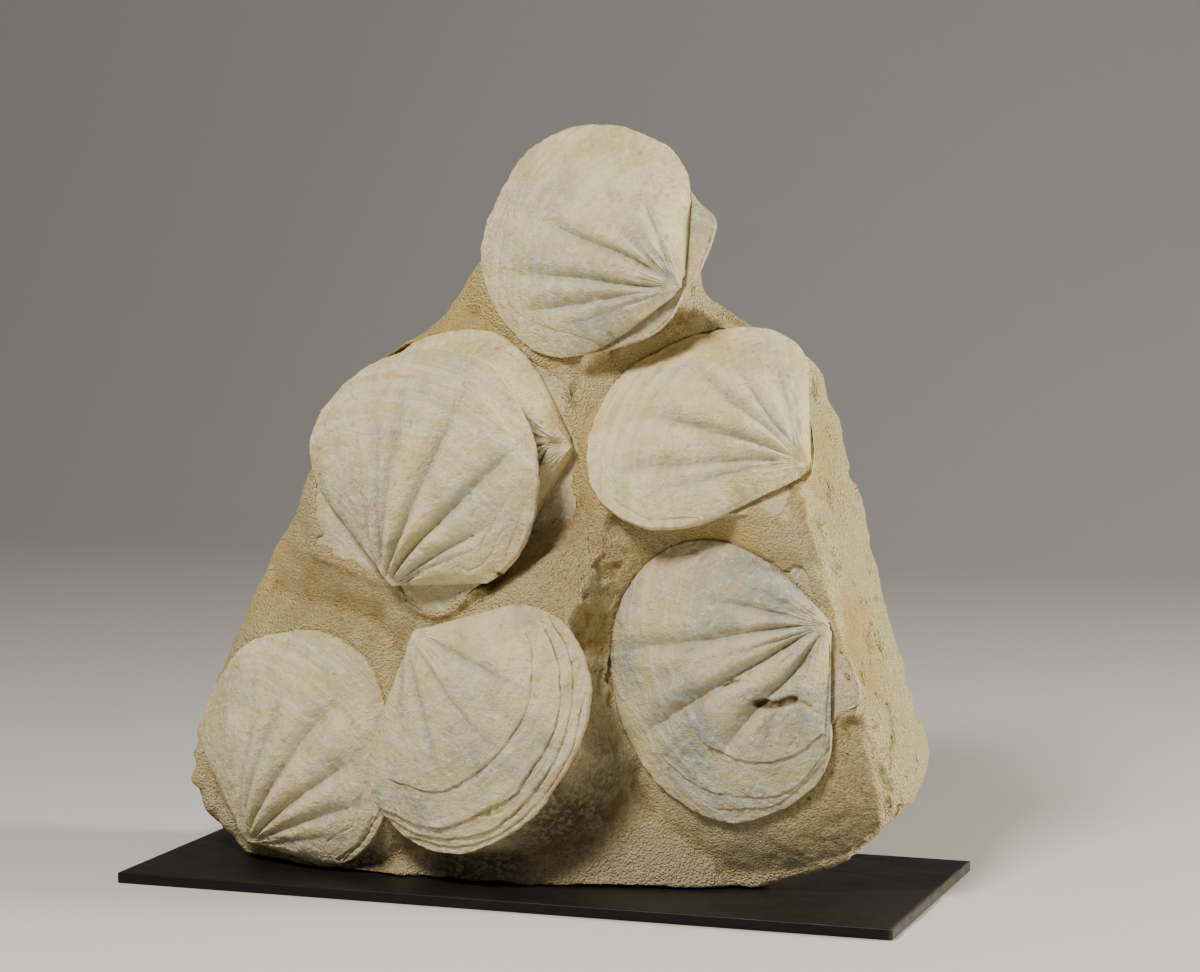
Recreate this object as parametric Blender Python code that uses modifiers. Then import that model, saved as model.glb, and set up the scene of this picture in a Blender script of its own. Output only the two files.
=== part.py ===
"""Block of sandy limestone with seven fossil scallops, on a low black display plate.

Metres, +Z up. The plate's long side lies along X and the shells face -Y. The origin is under the
middle of the plate, on the surface that it stands on.
"""

import math
from collections import namedtuple

import bmesh
import bpy
from mathutils import Matrix, Vector

# The plate.
PLATE_LENGTH = 0.600
PLATE_DEPTH = 0.250
PLATE_HEIGHT = 0.008
PLATE_EDGE = 0.0008

# The block stands a hair above the plate. Its outline from the front is a list of (x, z). The
# low right corner overhangs the plate, and its back rises a little more than its front. Last
# come the places of the front and of the back, at the foot and at the top.
GAP = 0.0003
FOOT = PLATE_HEIGHT + GAP
BLOCK_OUTLINE = (
    (-0.226, -0.010), (0.160, -0.010), (0.178, 0.008), (0.264, 0.038), (0.289, 0.064),
    (0.284, 0.100), (0.260, 0.170), (0.240, 0.250), (0.218, 0.330), (0.200, 0.384),
    (0.170, 0.402), (0.108, 0.440), (0.102, 0.500), (0.056, 0.552), (-0.012, 0.552),
    (-0.052, 0.476), (-0.090, 0.422), (-0.146, 0.382), (-0.186, 0.300), (-0.234, 0.220),
    (-0.262, 0.150), (-0.281, 0.104), (-0.284, 0.064), (-0.272, 0.040), (-0.250, 0.018),
)
CORNER_X, CORNER_Z = 0.170, 0.092
CORNER_RISE = 0.032
BLOCK_TOP = 0.560
FRONT_AT_FOOT, FRONT_AT_TOP = -0.034, 0.012
BACK_AT_FOOT, BACK_AT_TOP = 0.088, 0.058

# The foot of the block bellies forward. Its front edge is a list of (x, y), and above it the
# front draws back by this much per metre of height.
FOOT_LINE = (
    (-0.245, -0.018), (-0.185, -0.044), (-0.127, -0.060), (-0.054, -0.074), (-0.012, -0.072),
    (0.064, -0.065), (0.140, -0.047), (0.170, -0.026), (0.300, -0.026),
)
FOOT_SLOPE = 0.30

# The stone rises to each shell and falls away from it with this radius. Near a shell that lies
# further back it stays below a slope that rises from that shell's rim, within this distance. A
# shell that leans has a slope of its own. Nothing in front reaches further back than the last
# value, and the outline's own edge keeps its place over this width.
FALL_RADIUS = 0.080
GUARD_REACH, GUARD_SLOPE = 0.016, 1.4
LEANING, LEANING_REACH, LEANING_SLOPE = 20, 0.040, 0.75
FRONT_LIMIT = 0.034
FRONT_DEPTH = 0.048
EDGE_WIDTH = 0.012
BURIED = 0.006

# The stone laps this far up a shell's rim, and fills its hollow: share of the disc and of the
# bulge at the top of the fill.
SEAT_LIP = 0.0015
FILL_SHARE = 0.40
FILL_HEIGHT = 0.62
PLUG_SIDES = 28

# The shells whose faces were cleared of the stone in front of them: share of the disc, depth.
CLEARED = ("scallop_upper_right", "scallop_lower_right")
CLEARED_SHARE = 1.04
CLEARED_DEPTH = 0.080

# The shells in order, with the one that lies furthest back first.
FURTHEST_FIRST = (
    "scallop_behind", "scallop_top", "scallop_upper_right", "scallop_lower_right",
    "scallop_lower_left", "scallop_upper_left", "scallop_lower_middle",
)

# The block's skin: its grain, how often it is smoothed, and what share of its faces is kept.
BLOCK_VOXEL = 0.006
BLOCK_SMOOTHING = 5
BLOCK_KEPT = 0.036

# A valve: how far the beak stands out from the round disc (a share of the height), the wall and
# the thickness left at the margin; where along the height the dome is deepest, its depth at the
# beak and where its round flanks begin; the height of the ribs and how far out they fade.
BEAK_REACH = 0.03
VALVE_WALL = 0.006
LIP = 0.002
DEEPEST = 0.38
BEAK_DEPTH = 0.22
BEAK_SPAN = 0.15
RIB_HEIGHT = 0.0022
RIB_FADE = 0.8
VALVE_RINGS = 4

# A lower valve lies this far behind the upper one's rim. Its disc is this share of the upper
# one's, so the stone inside the shell runs round its margin into the block.
GAPE = 0.0085
LOWER_DISC = 0.88
LOWER_WALL = 0.005
INSIDE_SHARE = 0.10
OUTSIDE_SHARE = 0.20
LOWER_SPOKES = 14
LOWER_RINGS = 2
EAR_FAN = math.radians(93)

# A pocket in the block stands this far outside its valve, measured at a corner.
CUT_MARGIN = 0.0007

# Points nearer than this are one point, and an edge sharper than this stays sharp.
WELD = 1e-5
CREASE = math.radians(40)

# Each shell: where its beak lies; spin of the disc, anticlockwise from upright as seen from the
# front; turn to the right and lean to the back of its face; height, width and bulge; the number
# of ribs; its lower valve, or none, as the reach of the two ears and the tilt of its hinge line;
# the seat of stone under it: share of the disc at the rim and at the back, depth, and how far up
# the back lies; and the stone round it: in each direction from the height line, how far below the
# rim it starts and how steeply it falls away. Lengths in metres, angles in degrees.
Shell = namedtuple(
    "Shell", "name beak spin turn lean height width bulge ribs lower seat bed"
)
Lower = namedtuple("Lower", "ears tilt")
Seat = namedtuple("Seat", "front back depth rise")
SHELLS = (
    Shell("scallop_top", (0.111, -0.032, 0.450), 67, -5, 10, 0.169, 0.180, 0.024, 9,
          Lower((0.046, 0.030), 0), Seat(0.90, 0.90, 0.050, -0.010),
          ((-180, 0.010, 0.5), (-62, 0.010, 0.4), (-50, 0.004, 0.4), (-25, 0.002, 0.35),
           (5, 0.002, 0.4), (15, 0.004, 2.0), (60, 0.010, 2.0), (130, 0.010, 1.0),
           (180, 0.010, 0.5))),
    Shell("scallop_upper_left", (-0.101, -0.078, 0.224), -14, -8, 3, 0.183, 0.192, 0.026, 9,
          Lower((0.036, 0.062), -14), Seat(0.93, 0.98, 0.080, 0),
          ((-180, 0.010, 0.25), (-58, 0.010, 0.3), (-46, 0.004, 0.6), (-30, 0.006, 3.0),
           (50, 0.008, 4.0), (62, 0.010, 0.7), (80, 0.010, 0.35), (180, 0.010, 0.25))),
    Shell("scallop_behind", (0.025, -0.040, 0.334), 95, -6, 7, 0.182, 0.190, 0.018, 9,
          Lower((0.046, 0.056), 0), Seat(0.96, 0.96, 0.040, 0),
          ((-180, 0.010, 0.4), (-60, 0.010, 0.4), (-50, 0.003, 0.4), (50, 0.003, 0.4),
           (60, 0.010, 0.4), (180, 0.010, 0.4))),
    Shell("scallop_upper_right", (0.206, -0.048, 0.317), 65, 3, 34, 0.172, 0.180, 0.020, 9,
          Lower((0.030, 0.038), 0), Seat(0.94, 0.96, 0.040, -0.020),
          ((-180, 0.010, 0.1), (-60, 0.010, 0.3), (-45, 0.004, 0.35), (-25, 0.002, 0.35),
           (50, 0.002, 0.5), (60, 0.010, 0.3), (110, 0.010, 0.1), (180, 0.010, 0.1))),
    Shell("scallop_lower_right", (0.231, -0.060, 0.209), 116, -6, 2, 0.187, 0.212, 0.020, 9,
          Lower((0.044, 0.044), 0), Seat(0.98, 1.08, 0.060, 0),
          ((-180, 0.010, 0.15), (-58, 0.010, 0.2), (-40, 0.005, 0.3), (-10, 0.003, 0.35),
           (20, 0.002, 0.7), (50, 0.002, 0.3), (62, 0.010, 0.2), (180, 0.010, 0.15))),
    Shell("scallop_lower_middle", (-0.072, -0.082, 0.199), 221, -10, 6, 0.168, 0.204, 0.022, 9,
          None, Seat(0.94, 0.88, 0.085, 0.028),
          ((-180, 0.005, 0.35), (-80, 0.006, 0.35), (-60, 0.007, 1.6), (-30, 0.008, 2.2),
           (0, 0.009, 1.3), (25, 0.009, 2.5), (60, 0.008, 3.0), (90, 0.004, 1.0),
           (180, 0.005, 0.35))),
    Shell("scallop_lower_left", (-0.224, -0.048, 0.024), -28, -15, 3, 0.178, 0.193, 0.024, 9,
          None, Seat(0.97, 1.05, 0.050, 0),
          ((-180, 0.005, 1.0), (-60, 0.003, 0.5), (-20, 0.002, 0.35), (40, 0.002, 0.4),
           (70, 0.005, 1.0), (110, 0.007, 1.5), (180, 0.005, 1.0))),
)

# Finishes: colour, roughness, metallic.
BLACK_BOARD = ((0.018, 0.018, 0.020), 0.45, 0.0)
SANDSTONE = ((0.52, 0.40, 0.23), 0.95, 0.0)
SHELL_CREAM = ((0.62, 0.56, 0.45), 0.80, 0.0)
SHELL_GREY = ((0.48, 0.46, 0.40), 0.82, 0.0)


def clear_scene():
    for obj in list(bpy.data.objects):
        bpy.data.objects.remove(obj)


def new_collection(name):
    collection = bpy.data.collections.new(name)
    bpy.context.scene.collection.children.link(collection)
    return collection


def finish(name, values):
    """A material with the given colour, roughness and metallic value."""
    colour, roughness, metallic = values
    material = bpy.data.materials.new(name)
    material.use_nodes = True
    shader = material.node_tree.nodes["Principled BSDF"]
    shader.inputs["Base Color"].default_value = (*colour, 1.0)
    shader.inputs["Roughness"].default_value = roughness
    shader.inputs["Metallic"].default_value = metallic
    material.diffuse_color = (*colour, 1.0)
    return material


def object_from(bm, name, collection):
    """The bmesh as a named object, with its normals out."""
    bmesh.ops.recalc_face_normals(bm, faces=bm.faces)
    mesh = bpy.data.meshes.new(name)
    bm.to_mesh(mesh)
    bm.free()
    obj = bpy.data.objects.new(name, mesh)
    collection.objects.link(obj)
    return obj


def make_cutter(obj):
    obj.hide_render = True
    obj.display_type = "WIRE"
    return obj


def box_mesh(low, high):
    bm = bmesh.new()
    bmesh.ops.create_cube(bm, size=1)
    middle = (Vector(low) + Vector(high)) / 2
    bmesh.ops.scale(bm, vec=Vector(high) - Vector(low), verts=bm.verts)
    bmesh.ops.translate(bm, vec=middle, verts=bm.verts)
    return bm


def base_plate(collection):
    corner = Vector((PLATE_LENGTH / 2, PLATE_DEPTH / 2, 0))
    top = Vector((0, 0, PLATE_HEIGHT))
    plate = object_from(box_mesh(-corner, corner + top), "base_plate", collection)
    edge = plate.modifiers.new("edge", "BEVEL")
    edge.width = PLATE_EDGE
    edge.segments = 1
    plate.data.materials.append(finish("black_board", BLACK_BOARD))
    return plate


def shell_matrix(shell):
    """From the shell's own frame (beak at 0, height along Y, outer face +Z) to the world."""
    upright = Matrix.Rotation(math.radians(90 - shell.lean), 4, "X")
    turned = Matrix.Rotation(math.radians(shell.turn), 4, "Z")
    spun = Matrix.Rotation(math.radians(shell.spin), 4, "Z")
    return Matrix.Translation(shell.beak) @ turned @ upright @ spun


def disc_reach(angle):
    """From the beak to the margin at this angle from the height line, as a share of the height."""
    centre, radius = 0.5 + BEAK_REACH, 0.5 - BEAK_REACH
    across = centre * math.sin(angle)
    return centre * math.cos(angle) + math.sqrt(max(radius**2 - across**2, 0))


def disc_fan():
    """Half the angle between the two straight edges beside the beak."""
    return math.asin((0.5 - BEAK_REACH) / (0.5 + BEAK_REACH))


def domed(along, across):
    """Depth of the dome, 0 to 1. along runs from beak to margin, across from flank to flank."""
    if along > DEEPEST:
        rise = 1 - ((along - DEEPEST) / (1 - DEEPEST)) ** 2
    else:
        rise = 1 - (1 - BEAK_DEPTH) * ((DEEPEST - along) / DEEPEST) ** 2
    flank = math.sqrt(max(math.cos(across * math.pi / 2), 0))
    return rise * (1 - (1 - flank) * min(along / BEAK_SPAN, 1))


def disc_point(shell, along, angle, reach, height, inset=0):
    """A point of the disc in the shell's own frame, drawn in from the margin by inset."""
    stretch = shell.width / (1 - 2 * BEAK_REACH) / shell.height
    middle = 0.5 * shell.height
    shrink = 1 - inset / middle
    side = math.sin(angle) * reach * along * stretch * shrink
    up = middle + (math.cos(angle) * reach * along - middle) * shrink
    return Vector((side, up, height))


def upper_outside(shell):
    """The outer face of an upper valve, with a rib and a furrow for every two spokes."""
    fan = disc_fan()

    def place(along, across):
        rib = math.cos(math.pi * shell.ribs * (across + 1)) * RIB_HEIGHT
        rib *= math.sin(math.pi * RIB_FADE * along) * (1 - across**4)
        height = LIP + shell.bulge * domed(along, across) + rib
        reach = disc_reach(across * fan) * shell.height
        return disc_point(shell, along, across * fan, reach, height)

    return place


def upper_inside(shell):
    fan = disc_fan()

    def place(along, across):
        height = (shell.bulge - VALVE_WALL) * domed(along, across)
        reach = disc_reach(across * fan) * shell.height
        return disc_point(shell, along, across * fan, reach, height, VALVE_WALL)

    return place


def lower_face(shell, behind, share):
    """A face of a lower valve: a shallow dish whose two ears meet the hinge line."""
    fan = disc_fan()

    def place(along, across):
        angle = across * EAR_FAN - math.radians(shell.lower.tilt)
        if abs(angle) < fan:
            reach = disc_reach(angle) * shell.height * LOWER_DISC
            dish = domed(along, angle / fan)
        else:
            reach = shell.lower.ears[0] if across > 0 else shell.lower.ears[1]
            dish = domed(along, 1)
        height = -behind - share * shell.bulge * dish
        return disc_point(shell, along, angle, reach, height)

    return place


def valve(name, matrix, spokes, rings, faces, material, collection):
    """A closed valve: a fan of faces from the beak and its copy, joined round the margin.

    Each of the two faces is a function (along, across) that gives a point of it.
    """
    bm = bmesh.new()
    bmesh.ops.create_grid(bm, x_segments=spokes, y_segments=rings, size=0.5)
    grown = bmesh.ops.extrude_face_region(bm, geom=bm.faces[:])["geom"]
    second = {item for item in grown if isinstance(item, bmesh.types.BMVert)}
    beak = [face for face in bm.faces if max(v.co.y for v in face.verts) < WELD - 0.5]
    bmesh.ops.delete(bm, geom=beak, context="FACES")
    for vert in bm.verts:
        place = faces[vert in second]
        vert.co = place(vert.co.y + 0.5, 2 * vert.co.x)
    bmesh.ops.remove_doubles(bm, verts=bm.verts, dist=WELD)
    bmesh.ops.triangulate(bm, faces=bm.faces[:])
    made = object_from(bm, name, collection)
    made.matrix_world = matrix
    made.data.materials.append(material)
    round_off(made)
    return made


def upper_valve(shell, material, collection):
    faces = (upper_outside(shell), upper_inside(shell))
    spokes = 2 * shell.ribs
    place = shell_matrix(shell)
    return valve(shell.name, place, spokes, VALVE_RINGS, faces, material, collection)


def lower_valve(shell, material, collection):
    faces = (
        lower_face(shell, GAPE, INSIDE_SHARE),
        lower_face(shell, GAPE + LOWER_WALL, OUTSIDE_SHARE),
    )
    name = shell.name + "_lower_valve"
    place = shell_matrix(shell)
    return valve(name, place, LOWER_SPOKES, LOWER_RINGS, faces, material, collection)


def round_off(obj):
    obj.data.shade_smooth()
    obj.data.set_sharp_from_angle(angle=CREASE)


def valve_cutter(valve, collection):
    """The pocket for a valve: the same solid, moved out along its normals."""
    pocket = valve.copy()
    pocket.name = valve.name + "_pocket"
    collection.objects.link(pocket)
    grown = pocket.modifiers.new("margin", "DISPLACE")
    grown.strength = CUT_MARGIN
    grown.mid_level = 0
    return make_cutter(pocket)


def between(foot, top, z):
    """The value at height z of what is foot at the block's foot and top at its top."""
    return foot + (top - foot) * min(z / BLOCK_TOP, 1)


def add_slab(bm):
    """The upright slab: the outline as a face, pulled back and leaned to its front and back."""
    ring = [bm.verts.new((x, 0, z)) for x, z in BLOCK_OUTLINE]
    face = bm.faces.new(ring)
    grown = bmesh.ops.extrude_face_region(bm, geom=[face])["geom"]
    back = [item for item in grown if isinstance(item, bmesh.types.BMVert)]
    for vert in back:
        vert.co.y = between(BACK_AT_FOOT, BACK_AT_TOP, vert.co.z)
        if vert.co.x > CORNER_X and vert.co.z < CORNER_Z:
            vert.co.z += CORNER_RISE
    for vert in ring:
        vert.co.y = between(FRONT_AT_FOOT, FRONT_AT_TOP, vert.co.z)


def outline_depth(x, z):
    """How far inside the block's outline a point lies, less than 0 outside it."""
    nearest, inside = math.inf, False
    for (x0, z0), (x1, z1) in zip(BLOCK_OUTLINE, BLOCK_OUTLINE[1:] + BLOCK_OUTLINE[:1]):
        dx, dz = x1 - x0, z1 - z0
        share = ((x - x0) * dx + (z - z0) * dz) / (dx * dx + dz * dz)
        share = min(max(share, 0), 1)
        nearest = min(nearest, math.hypot(x - x0 - share * dx, z - z0 - share * dz))
        if (z0 > z) != (z1 > z) and x < dx * (z - z0) / dz + x0:
            inside = not inside
    return nearest if inside else -nearest


def along_rows(rows, at, column):
    """The value of a column at this place, between the rows of a table that is in order."""
    for first, second in zip(rows, rows[1:]):
        if at <= second[0]:
            share = max(at - first[0], 0) / (second[0] - first[0])
            return first[column] + (second[column] - first[column]) * share
    return rows[-1][column]


class Bed:
    """Where one shell wants the stone to be, seen straight from the front."""

    def __init__(self, shell):
        self.shell = shell
        matrix = shell_matrix(shell)
        self.inverse = matrix.inverted()
        self.beak = matrix.translation
        self.normal = matrix.to_3x3().col[2]
        leaning = shell.lean > LEANING
        self.guard_reach = LEANING_REACH if leaning else GUARD_REACH
        self.guard_slope = LEANING_SLOPE if leaning else GUARD_SLOPE

    def plane(self, x, z, height):
        """The y at which a line along Y meets the plane at this height above the rim."""
        normal, beak = self.normal, self.beak
        return beak.y + (height - normal.x * (x - beak.x) - normal.z * (z - beak.z)) / normal.y

    def away(self, side, up):
        """How far a place in the rim's plane lies outside the disc and its beak."""
        shell, fan = self.shell, disc_fan()
        middle = (0.5 + BEAK_REACH) * shell.height
        reach = (0.5 - BEAK_REACH) * shell.height
        disc = math.hypot(2 * side / shell.width, (up - middle) / reach) - 1
        wedge = max(abs(side) * math.cos(fan) - up * math.sin(fan), up - middle)
        return min(disc * (reach + shell.width / 2) / 2, wedge)

    def measure(self, x, z):
        """Distance outside the shell, and the level and slope of the stone there."""
        place = self.inverse @ Vector((x, self.plane(x, z, 0), z))
        degrees = math.degrees(math.atan2(place.x, place.y))
        level = along_rows(self.shell.bed, degrees, 1)
        slope = along_rows(self.shell.bed, degrees, 2)
        return self.away(place.x, place.y), level, slope


def bedded_front(beds, x, z):
    """Where the front of the stone lies. beds has the shell that lies furthest back first."""
    foot = along_rows(FOOT_LINE, x, 1) + FOOT_SLOPE * z
    y = min(between(FRONT_AT_FOOT, FRONT_AT_TOP, z), foot)
    measured = [(bed, *bed.measure(x, z)) for bed in beds]
    for bed, away, level, slope in measured:
        out = max(away, 0)
        y = min(y, bed.plane(x, z, -level - slope * out - out**2 / (2 * FALL_RADIUS)))
    for bed, away, level, slope in measured:
        out = max(away, 0)
        if out < bed.guard_reach:
            y = max(y, bed.plane(x, z, (bed.guard_slope + slope) * out - level))
        if away < 0:
            y = bed.plane(x, z, -BURIED)
    return min(y, FRONT_LIMIT)


def bedded_slab(cutters):
    """The slab with its front moved to the shells, as a bmesh."""
    bm = bmesh.new()
    add_slab(bm)
    slab = object_from(bm, "plain_slab", cutters)
    fuse(slab, "skin")
    skin = slab.evaluated_get(bpy.context.evaluated_depsgraph_get())
    bm = bmesh.new()
    bm.from_mesh(skin.to_mesh())
    skin.to_mesh_clear()
    make_cutter(slab)
    bm.normal_update()
    named = {shell.name: shell for shell in SHELLS}
    beds = [Bed(named[name]) for name in FURTHEST_FIRST]
    for vert in bm.verts:
        inside = outline_depth(vert.co.x, vert.co.z)
        if vert.co.y > FRONT_DEPTH or inside < 0:
            continue
        share = min(inside / EDGE_WIDTH, 1)
        if inside < 2 * EDGE_WIDTH:
            share *= min(max(-2 * vert.normal.y, 0), 1)
        vert.co.y += share * (bedded_front(beds, vert.co.x, vert.co.z) - vert.co.y)
    return bm


def add_plug(bm, shell, back, front):
    """A tapered plug of stone under a shell. back and front are (share of the disc, height)."""
    plug = bmesh.ops.create_cone(
        bm,
        cap_ends=True,
        segments=PLUG_SIDES,
        radius1=back[0] / 2,
        radius2=front[0] / 2,
        depth=1,
    )["verts"]
    matrix = shell_matrix(shell)
    for vert in plug:
        height = back[1] if vert.co.z < 0 else front[1]
        side = vert.co.x * shell.width
        up = (vert.co.y * (1 - 2 * BEAK_REACH) + 0.5 + BEAK_REACH) * shell.height
        vert.co = matrix @ Vector((side, up, height))
    return [vert for vert in plug if (matrix.inverted() @ vert.co).z < 0]


def add_seat(bm, shell):
    """The stone that carries a shell, and the stone that fills its hollow."""
    seat = shell.seat
    rim = (seat.front, SEAT_LIP)
    for vert in add_plug(bm, shell, (seat.back, -seat.depth), rim):
        vert.co.z += seat.rise
    add_plug(bm, shell, rim, (FILL_SHARE, FILL_HEIGHT * shell.bulge))


def clearing(shell, cutters):
    """The space in front of a shell, where the stone was cleared from its face."""
    bm = bmesh.new()
    add_plug(bm, shell, (CLEARED_SHARE, SEAT_LIP), (CLEARED_SHARE, CLEARED_DEPTH))
    return make_cutter(object_from(bm, shell.name + "_clearing", cutters))


def cut_away(obj, cutter):
    cut = obj.modifiers.new(cutter.name, "BOOLEAN")
    cut.operation = "DIFFERENCE"
    cut.solver = "EXACT"
    cut.object = cutter


def foot_cutter(cutters):
    """All the room below the block's foot."""
    reach = Vector((PLATE_LENGTH, PLATE_DEPTH, 0))
    low = Vector((0, 0, -BLOCK_TOP))
    room = box_mesh(low - reach, Vector((0, 0, FOOT)) + reach)
    return make_cutter(object_from(room, "foot_cut", cutters))


def fuse(obj, name):
    """One skin, at the block's own grain, round all the stone that the object holds."""
    skin = obj.modifiers.new(name, "REMESH")
    skin.mode = "VOXEL"
    skin.voxel_size = BLOCK_VOXEL


def matrix_block(pockets, collection, cutters):
    bm = bedded_slab(cutters)
    for shell in SHELLS:
        add_seat(bm, shell)
    block = object_from(bm, "matrix_block", collection)
    block.data.materials.append(finish("sandstone", SANDSTONE))
    fuse(block, "merged")
    for shell in SHELLS:
        if shell.name in CLEARED:
            cut_away(block, clearing(shell, cutters))
    fuse(block, "cleared")
    worn = block.modifiers.new("worn", "SMOOTH")
    worn.iterations = BLOCK_SMOOTHING
    lighter = block.modifiers.new("lighter", "DECIMATE")
    lighter.ratio = BLOCK_KEPT
    lighter.use_collapse_triangulate = True
    for cutter in [foot_cutter(cutters), *pockets]:
        cut_away(block, cutter)
    round_off(block)
    return block


def main():
    clear_scene()
    parts = new_collection("fossil_scallops")
    cutters = new_collection("cutters")
    base_plate(parts)
    cream = finish("shell_cream", SHELL_CREAM)
    grey = finish("shell_grey", SHELL_GREY)
    valves = [upper_valve(shell, cream, parts) for shell in SHELLS]
    valves += [lower_valve(shell, grey, parts) for shell in SHELLS if shell.lower]
    pockets = [valve_cutter(valve, cutters) for valve in valves]
    matrix_block(pockets, parts, cutters)


main()
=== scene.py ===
# %% [markdown]
# # Fossil scallops standing out of a block of sandy limestone
#
# The real object is one upright block, about half a metre wide, on a low black plate. Seven large
# scallop shells stand in relief on its front, where the stone around them was carved away. We load
# the plain solids of the block as a fixed frame, and then make the surface that the eye sees:
# shells with furrows and growth lines, granular stone, and a dusty painted plate.

# %% Load the frame
import math
from collections import namedtuple

import bpy
import numpy as np
from mathutils import Matrix, Vector, noise


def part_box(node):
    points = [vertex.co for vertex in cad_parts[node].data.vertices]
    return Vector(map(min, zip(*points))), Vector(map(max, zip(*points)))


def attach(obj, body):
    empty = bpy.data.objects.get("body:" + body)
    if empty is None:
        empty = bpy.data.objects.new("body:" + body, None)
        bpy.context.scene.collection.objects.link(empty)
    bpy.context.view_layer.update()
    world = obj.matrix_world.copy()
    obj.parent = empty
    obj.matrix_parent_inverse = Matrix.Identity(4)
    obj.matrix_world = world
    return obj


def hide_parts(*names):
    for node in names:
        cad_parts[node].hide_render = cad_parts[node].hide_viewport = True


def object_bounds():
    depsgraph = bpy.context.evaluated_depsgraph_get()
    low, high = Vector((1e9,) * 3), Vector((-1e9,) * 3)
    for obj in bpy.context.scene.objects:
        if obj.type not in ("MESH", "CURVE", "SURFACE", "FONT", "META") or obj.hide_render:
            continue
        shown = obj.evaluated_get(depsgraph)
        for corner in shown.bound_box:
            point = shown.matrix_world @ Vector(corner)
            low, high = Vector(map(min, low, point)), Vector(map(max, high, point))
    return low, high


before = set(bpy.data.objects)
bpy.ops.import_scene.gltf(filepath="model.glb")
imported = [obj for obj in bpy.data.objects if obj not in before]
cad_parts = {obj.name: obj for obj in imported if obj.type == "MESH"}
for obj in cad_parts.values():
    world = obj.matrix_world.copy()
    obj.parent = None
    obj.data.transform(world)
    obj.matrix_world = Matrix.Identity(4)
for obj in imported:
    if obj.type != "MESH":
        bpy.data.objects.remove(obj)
solid_low, solid_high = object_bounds()
print("solids reach from", solid_low, "to", solid_high)

# %% [markdown]
# ## Helpers
#
# An operator acts on all that is selected, so each step first selects only the piece that it is
# about. Large meshes are shaped by reading all their points into one array, moving the points by
# a formula, and writing them back. That is how a surface can follow a rule of growth, which no
# hand-pulled edge would.


# %% Selecting, reading and moving
def only(piece):
    """Select this piece alone and make it the active one."""
    bpy.ops.object.select_all(action="DESELECT")
    piece.select_set(True)
    bpy.context.view_layer.objects.active = piece
    return piece


def edit(piece, kind):
    """Open the piece for editing, with nothing selected. kind is VERT, EDGE or FACE."""
    only(piece)
    bpy.ops.object.mode_set(mode="EDIT")
    bpy.ops.mesh.select_mode(type=kind)
    bpy.ops.mesh.select_all(action="DESELECT")


def apply_modifier(piece, kind, **settings):
    """Add a modifier, set it, and make its result the piece's own mesh."""
    only(piece)
    bpy.ops.object.modifier_add(type=kind)
    modifier = piece.modifiers[-1]
    for name, value in settings.items():
        setattr(modifier, name, value)
    bpy.ops.object.modifier_apply(modifier=modifier.name)


def points_of(piece):
    places = np.empty(len(piece.data.vertices) * 3, np.float32)
    piece.data.vertices.foreach_get("co", places)
    return places.reshape(-1, 3).astype(float)


def normals_of(piece):
    outward = np.empty(len(piece.data.vertices) * 3, np.float32)
    piece.data.vertex_normals.foreach_get("vector", outward)
    return outward.reshape(-1, 3).astype(float)


def move_points(piece, places):
    piece.data.vertices.foreach_set("co", places.astype(np.float32).ravel())
    piece.data.update()


def smoothed(piece, degrees):
    """Shade it smooth, apart from edges sharper than this."""
    only(piece)
    bpy.ops.object.shade_smooth_by_angle(angle=math.radians(degrees))
    return piece


def triangles(piece):
    piece.data.calc_loop_triangles()
    return len(piece.data.loop_triangles)


# %% Random heights
def lumps(places, size, seed, octaves=3):
    """Smooth random heights, about -1 to 1. The largest lumps are this size in metres."""
    shift = Vector((7.3, 3.1, 5.7)) * seed
    spots = (places / size).tolist()
    return np.array([noise.fractal(Vector(p) + shift, 1.0, 2.0, octaves) for p in spots])


def rising(value, start, end):
    """0 before start, 1 after end, and a smooth rise between them."""
    share = np.clip((value - start) / (end - start), 0, 1)
    return share * share * (3 - 2 * share)


MM = 0.001

# %% [markdown]
# ## The shells
#
# A scallop's valve grows outward from its beak. Its furrows are rays from the beak, and its growth
# lines are rings round it, so the natural way to draw one is in polar form: an angle from the
# height line and a distance from the beak. Each shell here is written down that way. `margin` is
# its outline as a list of (degrees, millimetres). `furrows` are the valleys between its folds, each
# with a depth and the points it runs through. `ledges` are the steps where one season's layer ends.
# `cracks` and `pits` are what time did to it.
#
# The place of a shell is its hinge point, its spin (anticlockwise from upright as seen from the
# front), its turn to the right and its lean to the back, as in the solids. `tip` is how far the
# beak lies from the hinge point. `bed` says how the stone lies round the shell, for directions
# from -180 to 180 degrees: how far below the rim it starts, how steeply it falls away, and how far
# it draws back under the rim.

# %% What describes a shell
Shell = namedtuple(
    "Shell", "name beak spin turn lean bulge tip margin furrows ledges cracks pits grey bed"
)
# Furrow, Ledge and Crack take millimetres, and then the (degrees, millimetres) they run through.
Furrow = namedtuple("Furrow", "depth path")
Ledge = namedtuple("Ledge", "step path")
Crack = namedtuple("Crack", "depth width path")
# A pit: where it is, its radius and its depth.
Pit = namedtuple("Pit", "angle reach radius depth")

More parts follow.
